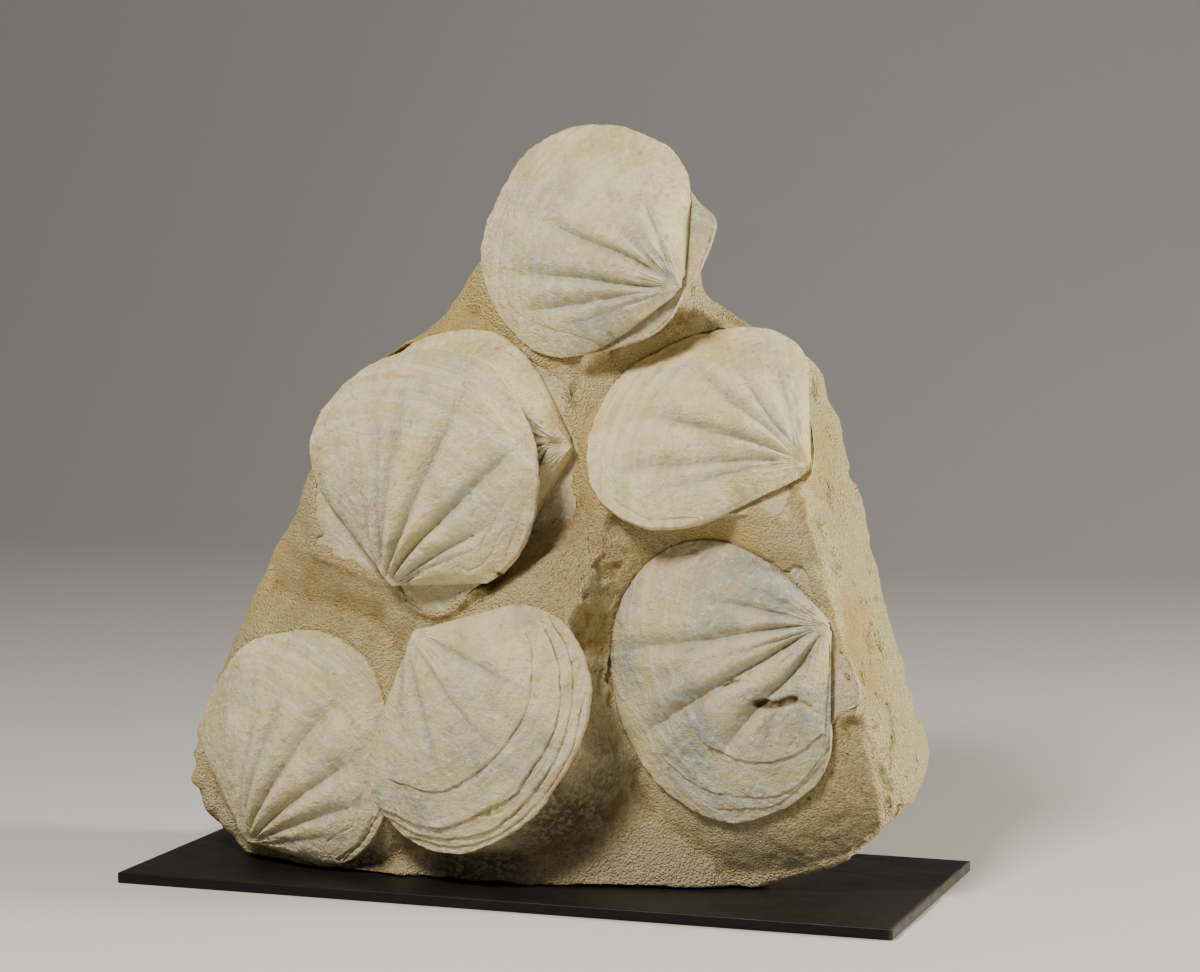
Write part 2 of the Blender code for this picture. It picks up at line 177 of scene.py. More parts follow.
# %% The shell at the top of the block
TOP = Shell(
    "scallop_top", (0.111, -0.032, 0.450), 67, -5, 10, 0.026, (2, -6),
    margin=((-66, 48), (-61, 76), (-56, 97), (-49, 115), (-34, 139), (-15, 160), (4, 162),
            (16, 161), (26, 153), (44, 129), (53, 114), (61, 102), (68, 87), (73, 66)),
    furrows=(
        Furrow(2.8, ((24, 12), (8, 40), (3, 69), (1, 112))),
        Furrow(3.0, ((-33, 12), (-24, 40), (-21, 61), (-20, 112))),
        Furrow(1.9, ((-44, 17), (-37, 63), (-33, 122))),
        Furrow(2.2, ((38, 10), (29, 36), (26, 50))),
        Furrow(1.7, ((53, 14), (42, 30), (38, 46))),
        Furrow(1.3, ((66, 16), (53, 40), (49, 62))),
        Furrow(1.0, ((-56, 20), (-48, 60), (-45, 84))),
    ),
    ledges=(Ledge(0.7, ((-60, 70), (-30, 128), (0, 144), (30, 134), (62, 88))),
            Ledge(0.5, ((-20, 138), (0, 150), (20, 146)))),
    cracks=(Crack(0.8, 0.7, ((62, 48), (57, 52))), Crack(0.7, 0.8, ((12, 118), (16, 108)))),
    pits=(Pit(9, 104, 1.6, 1.2), Pit(20, 128, 1.2, 0.8), Pit(30, 74, 1.0, 0.8)),
    grey=0.35,
    bed=((-180, 6, 0.5, 1), (-140, 6, 0.7, 1), (-80, 4, 0.7, 2), (-50, 1, 0.35, 2),
         (-25, 0, 0.3, 1), (0, 0, 0.4, 1), (12, 3, 2.0, 3), (90, 7, 2.0, 3), (130, 7, 1.0, 1),
         (180, 6, 0.5, 1)),
)

# %% The shell at the upper left
UPPER_LEFT = Shell(
    "scallop_upper_left", (-0.101, -0.078, 0.224), -14, -8, 3, 0.028, (11, 8),
    margin=((-51, 78), (-51, 97), (-46, 124), (-39, 140), (-31, 152), (-22, 165), (-15, 173),
            (-8, 180), (2, 186), (12, 191), (19, 186), (26, 176), (34, 166), (46, 145),
            (57, 123), (65, 103), (69, 87)),
    furrows=(
        Furrow(1.3, ((2, 34), (-8, 80), (-14, 143))),
        Furrow(2.2, ((6, 22), (-1, 60), (-3, 95), (-6, 155))),
        Furrow(2.9, ((26, 16), (18, 49), (14, 110), (12, 170))),
        Furrow(3.6, ((40, 18), (33, 52), (33, 100), (31, 164))),
        Furrow(2.4, ((54, 18), (48, 45), (47, 112))),
        Furrow(1.7, ((60, 20), (54, 45), (53, 90))),
        Furrow(1.6, ((-10, 16), (-16, 40), (-18, 62))),
    ),
    ledges=(Ledge(0.8, ((-40, 128), (-15, 160), (5, 172), (25, 164), (44, 140), (60, 108))),
            Ledge(0.9, ((28, 170), (46, 143), (58, 120), (66, 98)))),
    cracks=(Crack(0.9, 0.7, ((11, 172), (12, 184))), Crack(0.8, 0.8, ((42, 132), (52, 100))),
            Crack(0.9, 0.8, ((50, 118), (60, 92), (62, 80)))),
    pits=(Pit(66, 99, 2.6, 3.0), Pit(-34, 94, 1.2, 0.9), Pit(29, 172, 1.5, 1.4)),
    grey=0.40,
    bed=((-180, 5, 0.25, 1), (-120, 5, 0.25, 1), (-60, 1, 0.3, 1), (-46, 2, 0.6, 1),
         (-30, 6, 3.0, 4), (20, 6, 4.0, 6), (50, 8, 4.0, 9), (66, 6, 0.7, 4), (80, 5, 0.35, 1),
         (110, 6, 0.3, 1), (180, 5, 0.25, 1)),
)

# %% The shell behind it
BEHIND = Shell(
    "scallop_behind", (0.025, -0.040, 0.334), 95, -6, 7, 0.020, (-3, -12),
    margin=((-70, 44), (-62, 84), (-50, 118), (-33, 146), (-16, 166), (0, 174), (16, 166),
            (33, 148), (48, 121), (60, 98), (69, 70), (73, 57)),
    furrows=(
        Furrow(3.4, ((34, 4), (21, 18), (15, 50))),
        Furrow(3.8, ((6, 3), (-8, 14), (-6, 50))),
        Furrow(3.6, ((-44, 5), (-51, 17), (-44, 60))),
        Furrow(3.2, ((-20, 4), (-30, 16), (-26, 50))),
        Furrow(2.0, ((52, 6), (42, 22), (36, 60))),
    ),
    ledges=(Ledge(0.6, ((20, 150), (40, 126), (60, 88))),),
    cracks=(Crack(1.2, 0.7, ((61, 80), (65, 70))),),
    pits=(Pit(62, 77, 1.2, 1.4),),
    grey=0.10,
    bed=((-180, 5, 0.4, 1), (-100, 5, 0.35, 1), (-60, 1, 0.4, 1), (0, -1, 0.3, 1),
         (60, 0, 0.4, 1), (100, 5, 0.4, 1), (180, 5, 0.4, 1)),
)

# %% The shell at the upper right
UPPER_RIGHT = Shell(
    "scallop_upper_right", (0.206, -0.048, 0.317), 65, 3, 34, 0.022, (8, -9),
    margin=((-61, 46), (-57, 81), (-50, 110), (-42, 130), (-34, 145), (-24, 155), (-12, 161),
            (4, 162), (20, 151), (36, 138), (50, 125), (59, 109), (66, 84), (68, 64)),
    furrows=(
        Furrow(3.4, ((44, 9), (4, 32), (-2, 61), (-5, 125))),
        Furrow(2.5, ((20, 6), (-20, 24), (-27, 74), (-27, 126))),
        Furrow(1.2, ((-20, 8), (-37, 37), (-39, 92))),
        Furrow(1.7, ((48, 14), (24, 50), (20, 112))),
        Furrow(1.5, ((56, 18), (37, 45), (33, 84))),
        Furrow(1.2, ((68, 16), (56, 46), (50, 80))),
        Furrow(0.8, ((72, 20), (63, 44), (60, 66))),
    ),
    ledges=(Ledge(0.8, ((-46, 108), (-24, 140), (0, 150), (20, 142))),
            Ledge(0.7, ((-40, 122), (-20, 150), (-4, 156))),
            Ledge(1.1, ((-56, 76), (-46, 112), (-34, 138)))),
    cracks=(Crack(0.8, 0.7, ((62, 52), (58, 60))), Crack(1.1, 0.9, ((-50, 98), (-46, 112)))),
    pits=(Pit(57, 62, 1.0, 0.8), Pit(-47, 110, 2.0, 1.2)),
    grey=0.05,
    bed=((-180, 1, 0.1, 1), (-120, 3, 0.2, 1), (-80, 5, 0.25, 1), (-45, 4, 0.35, 2),
         (-25, 0, 0.35, 1), (20, -1, 0.3, 1), (50, 0, 0.5, 1), (80, 1, 0.3, 1), (110, 0, 0.1, 1),
         (180, 1, 0.1, 1)),
)

# %% The shell at the lower right, with a hole broken in it
LOWER_RIGHT = Shell(
    "scallop_lower_right", (0.231, -0.060, 0.209), 116, -6, 2, 0.022, (-1, -7),
    margin=((-74, 34), (-70, 62), (-70, 80), (-65, 105), (-57, 125), (-48, 144), (-38, 163),
            (-27, 172), (-12, 176), (3, 172), (19, 166), (29, 159), (40, 146), (52, 125),
            (62, 98), (71, 65), (79, 40), (92, 20)),
    furrows=(
        Furrow(1.6, ((52, 16), (42, 44), (37, 90))),
        Furrow(2.6, ((36, 10), (22, 36), (18, 69), (17, 154))),
        Furrow(3.6, ((-6, 12), (-7, 40), (-6, 68), (-6, 156))),
        Furrow(3.4, ((-52, 11), (-36, 40), (-29, 65), (-27, 118))),
        Furrow(2.2, ((12, 9), (6, 30), (6, 56))),
        Furrow(1.6, ((-62, 14), (-44, 36), (-38, 56))),
        Furrow(1.2, ((64, 18), (58, 40), (54, 66))),
        Furrow(0.9, ((-40, 76), (-42, 104))),
    ),
    ledges=(Ledge(1.4, ((-66, 76), (-52, 96), (-41, 107), (-30, 115), (-20, 121))),
            Ledge(1.0, ((-70, 84), (-52, 124), (-41, 137), (-26, 152), (-14, 158))),
            Ledge(0.9, ((22, 112), (32, 104), (42, 99), (54, 90), (66, 74))),
            Ledge(0.8, ((10, 150), (26, 140), (40, 126), (54, 106))),
            Ledge(1.0, ((-66, 96), (-50, 134), (-34, 158)))),
    cracks=(Crack(3.8, 3.6, ((-27, 70), (-37, 62), (-48, 53))),
            Crack(1.6, 1.1, ((-46, 51), (-52, 53), (-60, 56))),
            Crack(2.6, 1.3, ((-10, 68), (-7, 82))), Crack(1.0, 0.8, ((-10, 68), (-16, 60), (-22, 66))),
            Crack(1.2, 0.9, ((-37, 140), (-33, 146))), Crack(0.6, 0.5, ((14, 58), (16, 80), (4, 86)))),
    pits=(Pit(-31, 66, 2.6, 4.5), Pit(52, 44, 1.4, 1.2), Pit(56, 52, 1.1, 1.0)),
    grey=0.95,
    bed=((-180, 6, 0.15, 1), (-100, 6, 0.15, 1), (-70, 6, 0.2, 2), (-40, 5, 0.3, 3),
         (-10, 3, 0.35, 2), (20, 1, 0.7, 1), (50, 0, 0.5, 1), (75, 0, 0.3, 1), (110, 3, 0.2, 1),
         (180, 6, 0.15, 1)),
)

# %% The shell at the lower middle, which stands furthest out and ends in layers
LOWER_MIDDLE = Shell(
    "scallop_lower_middle", (-0.072, -0.082, 0.199), 221, -10, 6, 0.024, (0, 3),
    margin=((-64, 66), (-63, 90), (-57, 113), (-49, 131), (-40, 145), (-30, 153), (-18, 158),
            (-6, 162), (5, 167), (16, 169), (27, 169), (38, 161), (48, 146), (57, 124),
            (62, 100), (63, 76)),
    furrows=(
        Furrow(1.2, ((-28, 25), (-29, 60), (-28, 112))),
        Furrow(1.5, ((16, 14), (0, 43), (-2, 97), (-3, 120))),
        Furrow(1.2, ((36, 22), (23, 53), (22, 80), (22, 116))),
        Furrow(0.6, ((50, 26), (42, 60), (38, 94))),
    ),
    ledges=(Ledge(1.5, ((46, 114), (26, 122), (10, 122), (-6, 119), (-22, 116), (-39, 107), (-50, 98))),
            Ledge(2.2, ((50, 138), (27, 149), (14, 146), (2, 148), (-8, 143), (-18, 141), (-40, 125),
                        (-54, 108))),
            Ledge(2.0, ((50, 143), (37, 152), (14, 160), (1, 156), (-9, 152), (-22, 146), (-43, 131),
                        (-56, 112))),
            Ledge(1.4, ((40, 156), (23, 165), (0, 162), (-20, 154), (-34, 147)))),
    cracks=(Crack(0.9, 0.7, ((30, 48), (22, 53), (16, 56))), Crack(0.7, 0.7, ((22, 108), (22, 122))),
            Crack(1.2, 1.0, ((10, 146), (13, 151), (8, 153)))),
    pits=(Pit(-53, 78, 1.5, 1.2), Pit(-34, 84, 1.3, 1.2), Pit(12, 148, 2.6, 1.6)),
    grey=0.28,
    bed=((-180, 5, 0.35, 1), (-110, 5, 0.25, 1), (-80, 5, 0.20, 1), (-60, 6, 0.5, 2),
         (-40, 7, 1.4, 4), (-25, 8, 2.2, 5), (0, 9, 1.3, 5), (25, 9, 2.5, 6), (60, 8, 3.0, 5),
         (90, 4, 1.0, 1), (180, 5, 0.35, 1)),
)

# %% The shell at the lower left
LOWER_LEFT = Shell(
    "scallop_lower_left", (-0.224, -0.048, 0.024), -28, -15, 3, 0.025, (2, 1),
    margin=((-66, 50), (-63, 93), (-52, 113), (-43, 128), (-32, 150), (-20, 162), (-9, 174),
            (1, 180), (11, 180), (19, 171), (30, 156), (42, 140), (50, 127), (58, 112),
            (66, 94), (72, 66)),
    furrows=(
        Furrow(3.2, ((43, 15), (30, 53), (28, 93), (28, 134))),
        Furrow(2.7, ((14, 20), (10, 76), (9, 111), (11, 146))),
        Furrow(2.0, ((-8, 20), (-8, 76), (-8, 126))),
        Furrow(2.2, ((55, 16), (43, 71), (43, 124))),
        Furrow(1.2, ((60, 26), (55, 60), (54, 88))),
        Furrow(1.3, ((-20, 20), (-18, 60), (-17, 100))),
    ),
    ledges=(Ledge(0.8, ((-52, 96), (-20, 138), (5, 154), (30, 140))),
            Ledge(1.5, ((44, 134), (56, 110), (66, 90)))),
    cracks=(Crack(1.0, 0.8, ((40, 122), (50, 112), (52, 120))), Crack(0.8, 0.8, ((50, 108), (56, 84))),
            Crack(1.8, 1.2, ((48, 124), (57, 108), (66, 88)))),
    pits=(Pit(29, 112, 2.0, 0.6), Pit(-6, 150, 1.4, 0.6), Pit(20, 18, 2.0, 1.0)),
    grey=0.45,
    bed=((-180, 5, 1.0, 1), (-100, 3, 0.6, 1), (-60, 2, 0.5, 1), (-20, 0, 0.35, 1),
         (40, 0, 0.4, 1), (70, 5, 1.0, 4), (110, 7, 1.5, 3), (180, 5, 1.0, 1)),
)

SHELLS = (TOP, UPPER_LEFT, BEHIND, UPPER_RIGHT, LOWER_RIGHT, LOWER_MIDDLE, LOWER_LEFT)
print(len(SHELLS), "shells,", sum(len(shell.furrows) for shell in SHELLS), "furrows")

# %% [markdown]
# ### From numbers to a surface
#
# The margin is drawn through its points with a smooth curve, and the grid of a plain plane is then
# bent into the fan between the beak and that curve: columns become rays, rows become rings. What
# lifts the grid into a shell is a dome that is deepest over a third of the way out. Furrows, ledges and
# cracks are then taken away from it.


# %% A smooth curve through points
def seen_from_tip(shell, points):
    """(degrees, millimetres) from the hinge point, as x and y in metres from the beak."""
    angle = np.radians([degrees for degrees, _ in points])
    far = np.array([far for _, far in points]) * MM
    tip_x, tip_y = shell.tip[0] * MM, shell.tip[1] * MM
    return far * np.sin(angle) - tip_x, far * np.cos(angle) - tip_y


def smooth_line(x, y, steps):
    """Points at equal steps along a smooth curve through all of x and y."""
    walked = np.concatenate([[0], np.cumsum(np.hypot(np.diff(x), np.diff(y)))])
    places = np.linspace(0, walked[-1], steps + 1)
    first = np.clip(np.searchsorted(walked, places, side="right") - 1, 0, len(x) - 2)
    span = walked[first + 1] - walked[first]
    s = (places - walked[first]) / span

    def curve(values):
        slope = np.gradient(values, walked)
        start, end = values[first], values[first + 1]
        leave, arrive = slope[first] * span, slope[first + 1] * span
        return (
            (2 * s**3 - 3 * s**2 + 1) * start
            + (s**3 - 2 * s**2 + s) * leave
            + (3 * s**2 - 2 * s**3) * end
            + (s**3 - s**2) * arrive
        )

    return curve(x), curve(y)


def rays_to(shell, points, steps):
    """The smooth curve through the points, as an angle and a reach from the beak."""
    x, y = smooth_line(*seen_from_tip(shell, points), steps)
    return np.arctan2(x, y), np.hypot(x, y)


# %% The dome
DEEPEST = 0.38
BEAK_DEPTH = 0.24
BEAK_SPAN = 0.15


def dome(along, across):
    """Height of the dome, 0 to 1. along runs from beak to margin, across from flank to flank."""
    outer = 1 - ((along - DEEPEST) / (1 - DEEPEST)) ** 2
    inner = 1 - (1 - BEAK_DEPTH) * ((DEEPEST - along) / DEEPEST) ** 2
    rise = np.where(along > DEEPEST, outer, inner)
    flank = np.sqrt(np.clip(np.cos(across * math.pi / 2), 0, 1))
    return rise * (1 - (1 - flank) * np.clip(along / BEAK_SPAN, 0, 1))


# %% Furrows, with the folds that swell beside them
FURROW_SHARE = 1.8


def furrow_height(shell, furrow, angle, reach):
    """What one furrow and the two folds beside it add to the surface, and a mark on its bed, where the
    finish puts patina and painted shade.
    """
    turn, far = rays_to(shell, furrow.path, 40)
    order = np.argsort(far)
    start, end = far[order[0]], far[order[-1]]
    centre = np.interp(reach, far[order], turn[order])
    beside = np.abs(angle - centre) * reach
    width = 0.0014 + 0.034 * reach
    valley = 0.55 * np.exp(-((beside / width) ** 2)) + 0.45 * np.exp(-beside / (0.55 * width))
    fold = np.exp(-(((beside - 2.5 * width) / (1.7 * width)) ** 2))
    strength = rising(reach, 0.25 * start, start + 0.010)
    strength = strength * (1 - 0.9 * rising(reach, end - 0.035, end + 0.018))
    return FURROW_SHARE * furrow.depth * MM * strength * (0.45 * fold - valley), strength * valley


# %% Ledges, where a layer of shell ends
def ledge_height(shell, ledge, angle, reach, waver, patchy):
    """The step down outside a ledge, and a mark that is 1 along its line."""
    turn, far = rays_to(shell, sorted(ledge.path), 80)
    line = np.interp(angle, turn, far) + waver
    inside = rising(angle, turn[0] - 0.10, turn[0] + 0.05)
    inside = inside * (1 - rising(angle, turn[-1] - 0.05, turn[-1] + 0.10))
    past = reach - line
    step = rising(past, -0.0004, 0.0009)
    fading = 1 - 0.75 * rising(past, 0.002, 0.030)
    lip = 0.25 * np.exp(-((np.minimum(past, 0) / 0.004) ** 2)) * (past < 0)
    mark = np.exp(-(((past - 0.0005) / 0.0005) ** 2)) * inside * (0.55 + 0.45 * patchy)
    dark = 0.75 * min(max((ledge.step - 0.7) / 0.7, 0), 1)
    return ledge.step * MM * inside * (lip - step * fading - 0.35 * mark), dark * mark


# %% Cracks and pits
def line_distance(x, y, line_x, line_y):
    """Distance of each point from a line through corners."""
    nearest = np.full(len(x), 1.0)
    for x0, y0, x1, y1 in zip(line_x, line_y, line_x[1:], line_y[1:]):
        dx, dy = x1 - x0, y1 - y0
        share = np.clip(((x - x0) * dx + (y - y0) * dy) / (dx * dx + dy * dy), 0, 1)
        nearest = np.minimum(nearest, np.hypot(x - x0 - share * dx, y - y0 - share * dy))
    return nearest


def damage(shell, x, y, ragged):
    """How deep the cracks and pits are at each point, in metres."""
    deep = np.zeros(len(x))
    for crack in shell.cracks:
        line = smooth_line(*seen_from_tip(shell, crack.path), 8)
        away = line_distance(x + 0.0008 * ragged, y, *line) / (crack.width * MM)
        away = away * (1 + 0.35 * ragged)
        deep = np.maximum(deep, crack.depth * MM * np.exp(-(away**2)))
    for pit in shell.pits:
        pit_x, pit_y = seen_from_tip(shell, ((pit.angle, pit.reach),))
        away = np.hypot(x - pit_x[0], y - pit_y[0]) / (pit.radius * MM) * (1 + 0.5 * ragged)
        deep = np.maximum(deep, pit.depth * MM * np.exp(-(away**4)))
    return deep


# %% Fine relief
GROWTH_LINE = 0.00020
RING_WAVES = ((0.0075, 1.0), (0.0043, 0.8), (0.0026, 0.6))
RIBLET_HEIGHT = 0.00042
RIBLETS_PER_RADIAN = 7.5


def growth_rings(reach, along, waver):
    """Fine rings round the beak. They grow stronger towards the margin."""
    rings = sum(size * np.sin(2 * math.pi * (reach + 4 * waver) / wave + 900 * wave)
                for wave, size in RING_WAVES)
    return GROWTH_LINE * rings * (0.12 + 0.88 * rising(along, 0.60, 0.97))


def riblets(angle, reach, waver):
    """Small ribs that crowd round the beak and fade a few centimetres from it."""
    turns = RIBLETS_PER_RADIAN * angle + 600 * waver
    fading = rising(reach, 0.002, 0.008) * (1 - rising(reach, 0.020, 0.060))
    return RIBLET_HEIGHT * np.sin(2 * math.pi * turns) * fading


# %% The whole relief of an upper valve
def relief(shell, angle, reach, along, seed):
    """All that stands on the dome, and marks for the finish: furrow (patina and painted shade), grey
    (with painted shade below the beak), worn, and dirt.
    """
    x, y = reach * np.sin(angle), reach * np.cos(angle)
    flat = np.stack([x, y, np.zeros(len(x))], 1)
    wide, middling = lumps(flat, 0.045, seed), lumps(flat, 0.013, seed + 10)
    fine = lumps(flat, 0.0045, seed + 20)
    waver = 0.0012 * lumps(flat, 0.024, seed + 40)
    patchy = rising(middling, -0.35, 0.25)
    pocks = rising(lumps(flat, 0.0065, seed + 50, 2), 0.42, 0.75)
    height = 0.0011 * wide + 0.00070 * middling + 0.00048 * fine - 0.0007 * pocks
    height = height + growth_rings(reach, along, waver) * (0.35 + 0.65 * patchy)
    height = height + riblets(angle, reach, waver)
    furrow_patina_and_shade, dirt = np.zeros(len(x)), np.zeros(len(x))
    for furrow in shell.furrows:
        added, mark = furrow_height(shell, furrow, angle + 6 * waver * (reach > 0), reach)
        height, furrow_patina_and_shade = height + added, np.maximum(furrow_patina_and_shade, mark)
    for ledge in shell.ledges:
        added, mark = ledge_height(shell, ledge, angle, reach, waver + 0.0004 * fine, patchy)
        height, dirt = height + added, np.maximum(dirt, mark)
    deep = damage(shell, x, y, fine)
    dirt = np.maximum(dirt, np.clip((deep - 0.0004) / 0.0022, 0, 1) * (0.8 + 0.2 * fine))
    dirt = np.maximum(dirt, 0.35 * pocks)
    # Below the beak the blue-grey grows stronger: a painted shade on the side of each fan that turns
    # down, away from the lamps.
    below_beak = -reach * np.cos(angle - math.radians(shell.spin))
    grey_and_lower_shade = shell.grey * (1 + 0.8 * rising(below_beak, 0.0, 0.09))
    grey = np.clip(grey_and_lower_shade + 0.5 * wide + 0.3 * middling, 0, 1)
    worn = rising(along, 0.88, 1.0) * np.clip(0.6 + fine, 0, 1)
    return height - deep, np.stack([furrow_patina_and_shade, grey, worn], 1), dirt


print("at its deepest a dome is", dome(np.array([DEEPEST]), np.array([0.0]))[0])

# %% [markdown]
# ### The fan of a valve
#
# A grid is added, and its points are sent to their places. The finish needs to know, later, where
# the furrows are and how far a point lies from the beak, so both are written on the mesh as
# attributes. The open border is then extruded down in a few short steps, each a little wider or
# narrower than the last, which makes the layered edge of a thick old shell, and a flat face closes
# it below, inside the stone.


# %% Place in the world
def place_of(shell):
    """From the shell's own frame, with its beak at 0, to the world."""
    upright = Matrix.Rotation(math.radians(90 - shell.lean), 4, "X")
    turned = Matrix.Rotation(math.radians(shell.turn), 4, "Z")
    spun = Matrix.Rotation(math.radians(shell.spin), 4, "Z")
    tip = Matrix.Translation((shell.tip[0] * MM, shell.tip[1] * MM, 0))
    return Matrix.Translation(shell.beak) @ turned @ upright @ spun @ tip


# %% Marks for the finish
def write_marks(piece, name, values):
    """Write (x, y, z) or (r, g, b) values on the points, for the finish to read."""
    mark = piece.data.attributes.new(name, "FLOAT_VECTOR", "POINT")
    mark.data.foreach_set("vector", values.astype(np.float32).ravel())


# %% Bend a grid into a fan
# About the middle of a valve, from its beak. Its edge is widened and narrowed about this point.
VALVE_MIDDLE = (0, 0.08, 0)


def fan_grid(name, spokes, rings):
    """A grid, with its columns and rows as shares 0 to 1."""
    bpy.ops.mesh.primitive_grid_add(x_subdivisions=spokes, y_subdivisions=rings, size=1)
    piece = bpy.context.object
    piece.name = piece.data.name = name
    flat = points_of(piece)
    return piece, flat[:, 0] + 0.5, flat[:, 1] + 0.5


def close_edge(piece, steps, floor):
    """Extrude the open border down in steps of (drop, scale), then close it at the floor."""
    edit(piece, "EDGE")
    bpy.ops.mesh.select_all(action="SELECT")
    bpy.ops.mesh.remove_doubles(threshold=1e-5)
    bpy.ops.mesh.select_all(action="DESELECT")
    bpy.ops.mesh.select_non_manifold()
    for drop, scale in steps:
        bpy.ops.mesh.extrude_region()
        bpy.ops.transform.translate(value=(0, 0, -drop * MM))
        bpy.ops.transform.resize(value=(scale, scale, 1), center_override=VALVE_MIDDLE)
    bpy.ops.mesh.extrude_region()
    bpy.ops.transform.resize(value=(0.97, 0.97, 0), center_override=(*VALVE_MIDDLE[:2], floor))
    bpy.ops.mesh.edge_face_add()
    bpy.ops.mesh.select_all(action="SELECT")
    bpy.ops.mesh.normals_make_consistent(inside=False)
    bpy.ops.object.mode_set(mode="OBJECT")


# %% Build the upper valves
SPOKES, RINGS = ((320, 220))
RIM_STEPS = ((0.9, 1.003), (0.6, 0.996), (1.2, 1.004), (0.7, 0.992), (1.6, 1.002), (1.4, 0.985))
RIM_HEIGHT = 0.0022
SHELL_FLOOR = -0.0095


def chipped(reach, seed):
    """The margin's reach, with small chips broken out of it."""
    walk = np.stack([np.arange(len(reach)) * 0.0018, reach * 0, reach * 0], 1)
    return reach + 0.0009 * lumps(walk, 0.016, seed + 60) + 0.0005 * lumps(walk, 0.004, seed + 80)


def fan_rays(shell, outline, spokes, u, v, seed):
    """The angles along an outline, and the angle and the reach of each point of a grid."""
    angles, far = rays_to(shell, outline, spokes)
    shares = np.linspace(0, 1, spokes + 1)
    return angles, np.interp(u, shares, angles), np.interp(u, shares, chipped(far, seed)) * v


def put_in_place(piece, shell):
    piece.data.transform(place_of(shell))
    return smoothed(piece, 55)


def upper_valve(shell, seed):
    piece, u, v = fan_grid(shell.name + "_shell", SPOKES, RINGS)
    angles, angle, reach = fan_rays(shell, shell.margin, SPOKES, u, v, seed)
    middle, half = (angles[0] + angles[-1]) / 2, (angles[-1] - angles[0]) / 2
    height = RIM_HEIGHT + shell.bulge * dome(v, (angle - middle) / half)
    added, marks, dirt = relief(shell, angle, reach, v, seed)
    height = height + added * rising(reach, 0.001, 0.012)
    move_points(piece, np.stack([reach * np.sin(angle), reach * np.cos(angle), height], 1))
    write_marks(piece, "marks", marks)
    write_marks(piece, "growth", np.stack([angle * 0.1, reach, dirt], 1))
    close_edge(piece, RIM_STEPS, SHELL_FLOOR)
    return put_in_place(piece, shell)


upper_valves = {}
for number, shell in enumerate(SHELLS):
    upper_valves[shell.name] = upper_valve(shell, number + 1)
    print(shell.name, triangles(upper_valves[shell.name]), "triangles")

# %% [markdown]
# ### The lower valves
#
# Five shells still have their second valve behind the first. Only its ears, or a strip along the
# hinge, can be seen. It is made the same way as the upper valve, as a fan from the beak, but almost
# flat, with an outline that takes in the ears.

# %% Outlines of the lower valves
EARS = {
    "scallop_top": ((-104, 22), (-90, 34), (-81, 44), (-71, 57), (-64, 72), (-50, 104),
                    (-30, 130), (0, 148), (30, 136), (52, 104), (68, 76), (76, 66), (96, 56),
                    (101, 44), (114, 24)),
    "scallop_upper_left": ((-80, 68), (-72, 72), (-62, 84), (-50, 104), (-30, 142), (0, 164),
                           (30, 150), (52, 120), (64, 90), (74, 70), (84, 58), (95, 46),
                           (97, 20)),
    "scallop_behind": ((-106, 40), (-98, 54), (-80, 62), (-70, 74), (-50, 108), (-20, 146),
                       (10, 152), (36, 128), (58, 92), (70, 66), (81, 54), (94, 44), (104, 26)),
    "scallop_upper_right": ((-100, 34), (-88, 38), (-74, 42), (-60, 54), (-52, 84), (-30, 126),
                            (0, 146), (30, 128), (52, 96), (64, 66), (76, 40), (90, 26)),
    "scallop_lower_right": ((-100, 30), (-95, 54), (-89, 60), (-76, 64), (-66, 76), (-50, 122),
                            (-20, 154), (10, 154), (40, 126), (60, 88), (70, 68), (80, 56),
                            (92, 50), (104, 28)),
}
EAR_DEPTH = {
    "scallop_top": 0.0024,
    "scallop_upper_left": 0.0030,
    "scallop_behind": 0.0036,
    "scallop_upper_right": 0.0042,
    "scallop_lower_right": 0.0028,
}
LOWER_SPOKES, LOWER_RINGS = 220, 90
LOWER_STEPS = ((0.8, 1.002), (0.7, 0.997), (1.2, 1.002), (0.9, 0.995), (1.4, 1.001))
LOWER_FLOOR = -0.0125
LOWER_DISH = 0.004


def lower_valve(shell, seed):
    piece, u, v = fan_grid(shell.name + "_lower_shell", LOWER_SPOKES, LOWER_RINGS)
    _, angle, reach = fan_rays(shell, EARS[shell.name], LOWER_SPOKES, u, v, seed)
    flat = np.stack([reach * np.sin(angle), reach * np.cos(angle), v * 0], 1)
    fine, wide = lumps(flat, 0.008, seed), lumps(flat, 0.030, seed + 5)
    rings = growth_rings(reach * 1.6, v, 0.0008 * fine)
    relief_height = 0.0005 * fine + 0.0008 * wide + 1.5 * rings - LOWER_DISH * (1 - v) * v
    flat[:, 2] = relief_height * rising(reach, 0, 0.004) - EAR_DEPTH[shell.name]
    move_points(piece, flat)
    edge = rising(v, 0.93, 1.0) * np.clip(0.5 + fine, 0, 1)
    write_marks(piece, "marks", np.stack([0.25 * edge, 0.5 + 0.5 * wide, edge], 1))
    write_marks(piece, "growth", np.stack([angle * 0.1, reach, 0.3 * edge], 1))
    close_edge(piece, LOWER_STEPS, LOWER_FLOOR)
    return put_in_place(piece, shell)


lower_valves = {}
for number, shell in enumerate(SHELLS):
    if shell.name in EARS:
        lower_valves[shell.name] = lower_valve(shell, number + 11)
        print(shell.name, "lower valve:", triangles(lower_valves[shell.name]), "triangles")

# %% [markdown]
# ## The stone
#
# Sandy limestone breaks and weathers without any straight line. The plain solid of the block has
# the right masses, so the stone starts as a copy of it, with its loose triangles joined. A voxel
# remesh gives it an even skin, fine enough to carve.
#
# The stone then has to meet each shell as a bed meets what lies in it. For every point of the
# front we ask how far it lies from each shell's outline, and where that shell wants the stone to
# be: just below its rim beside it, and falling away with the distance. The shell that stands
# furthest out has the last word.

# %% Copy the block and give it an even skin
SKIN = 0.0026


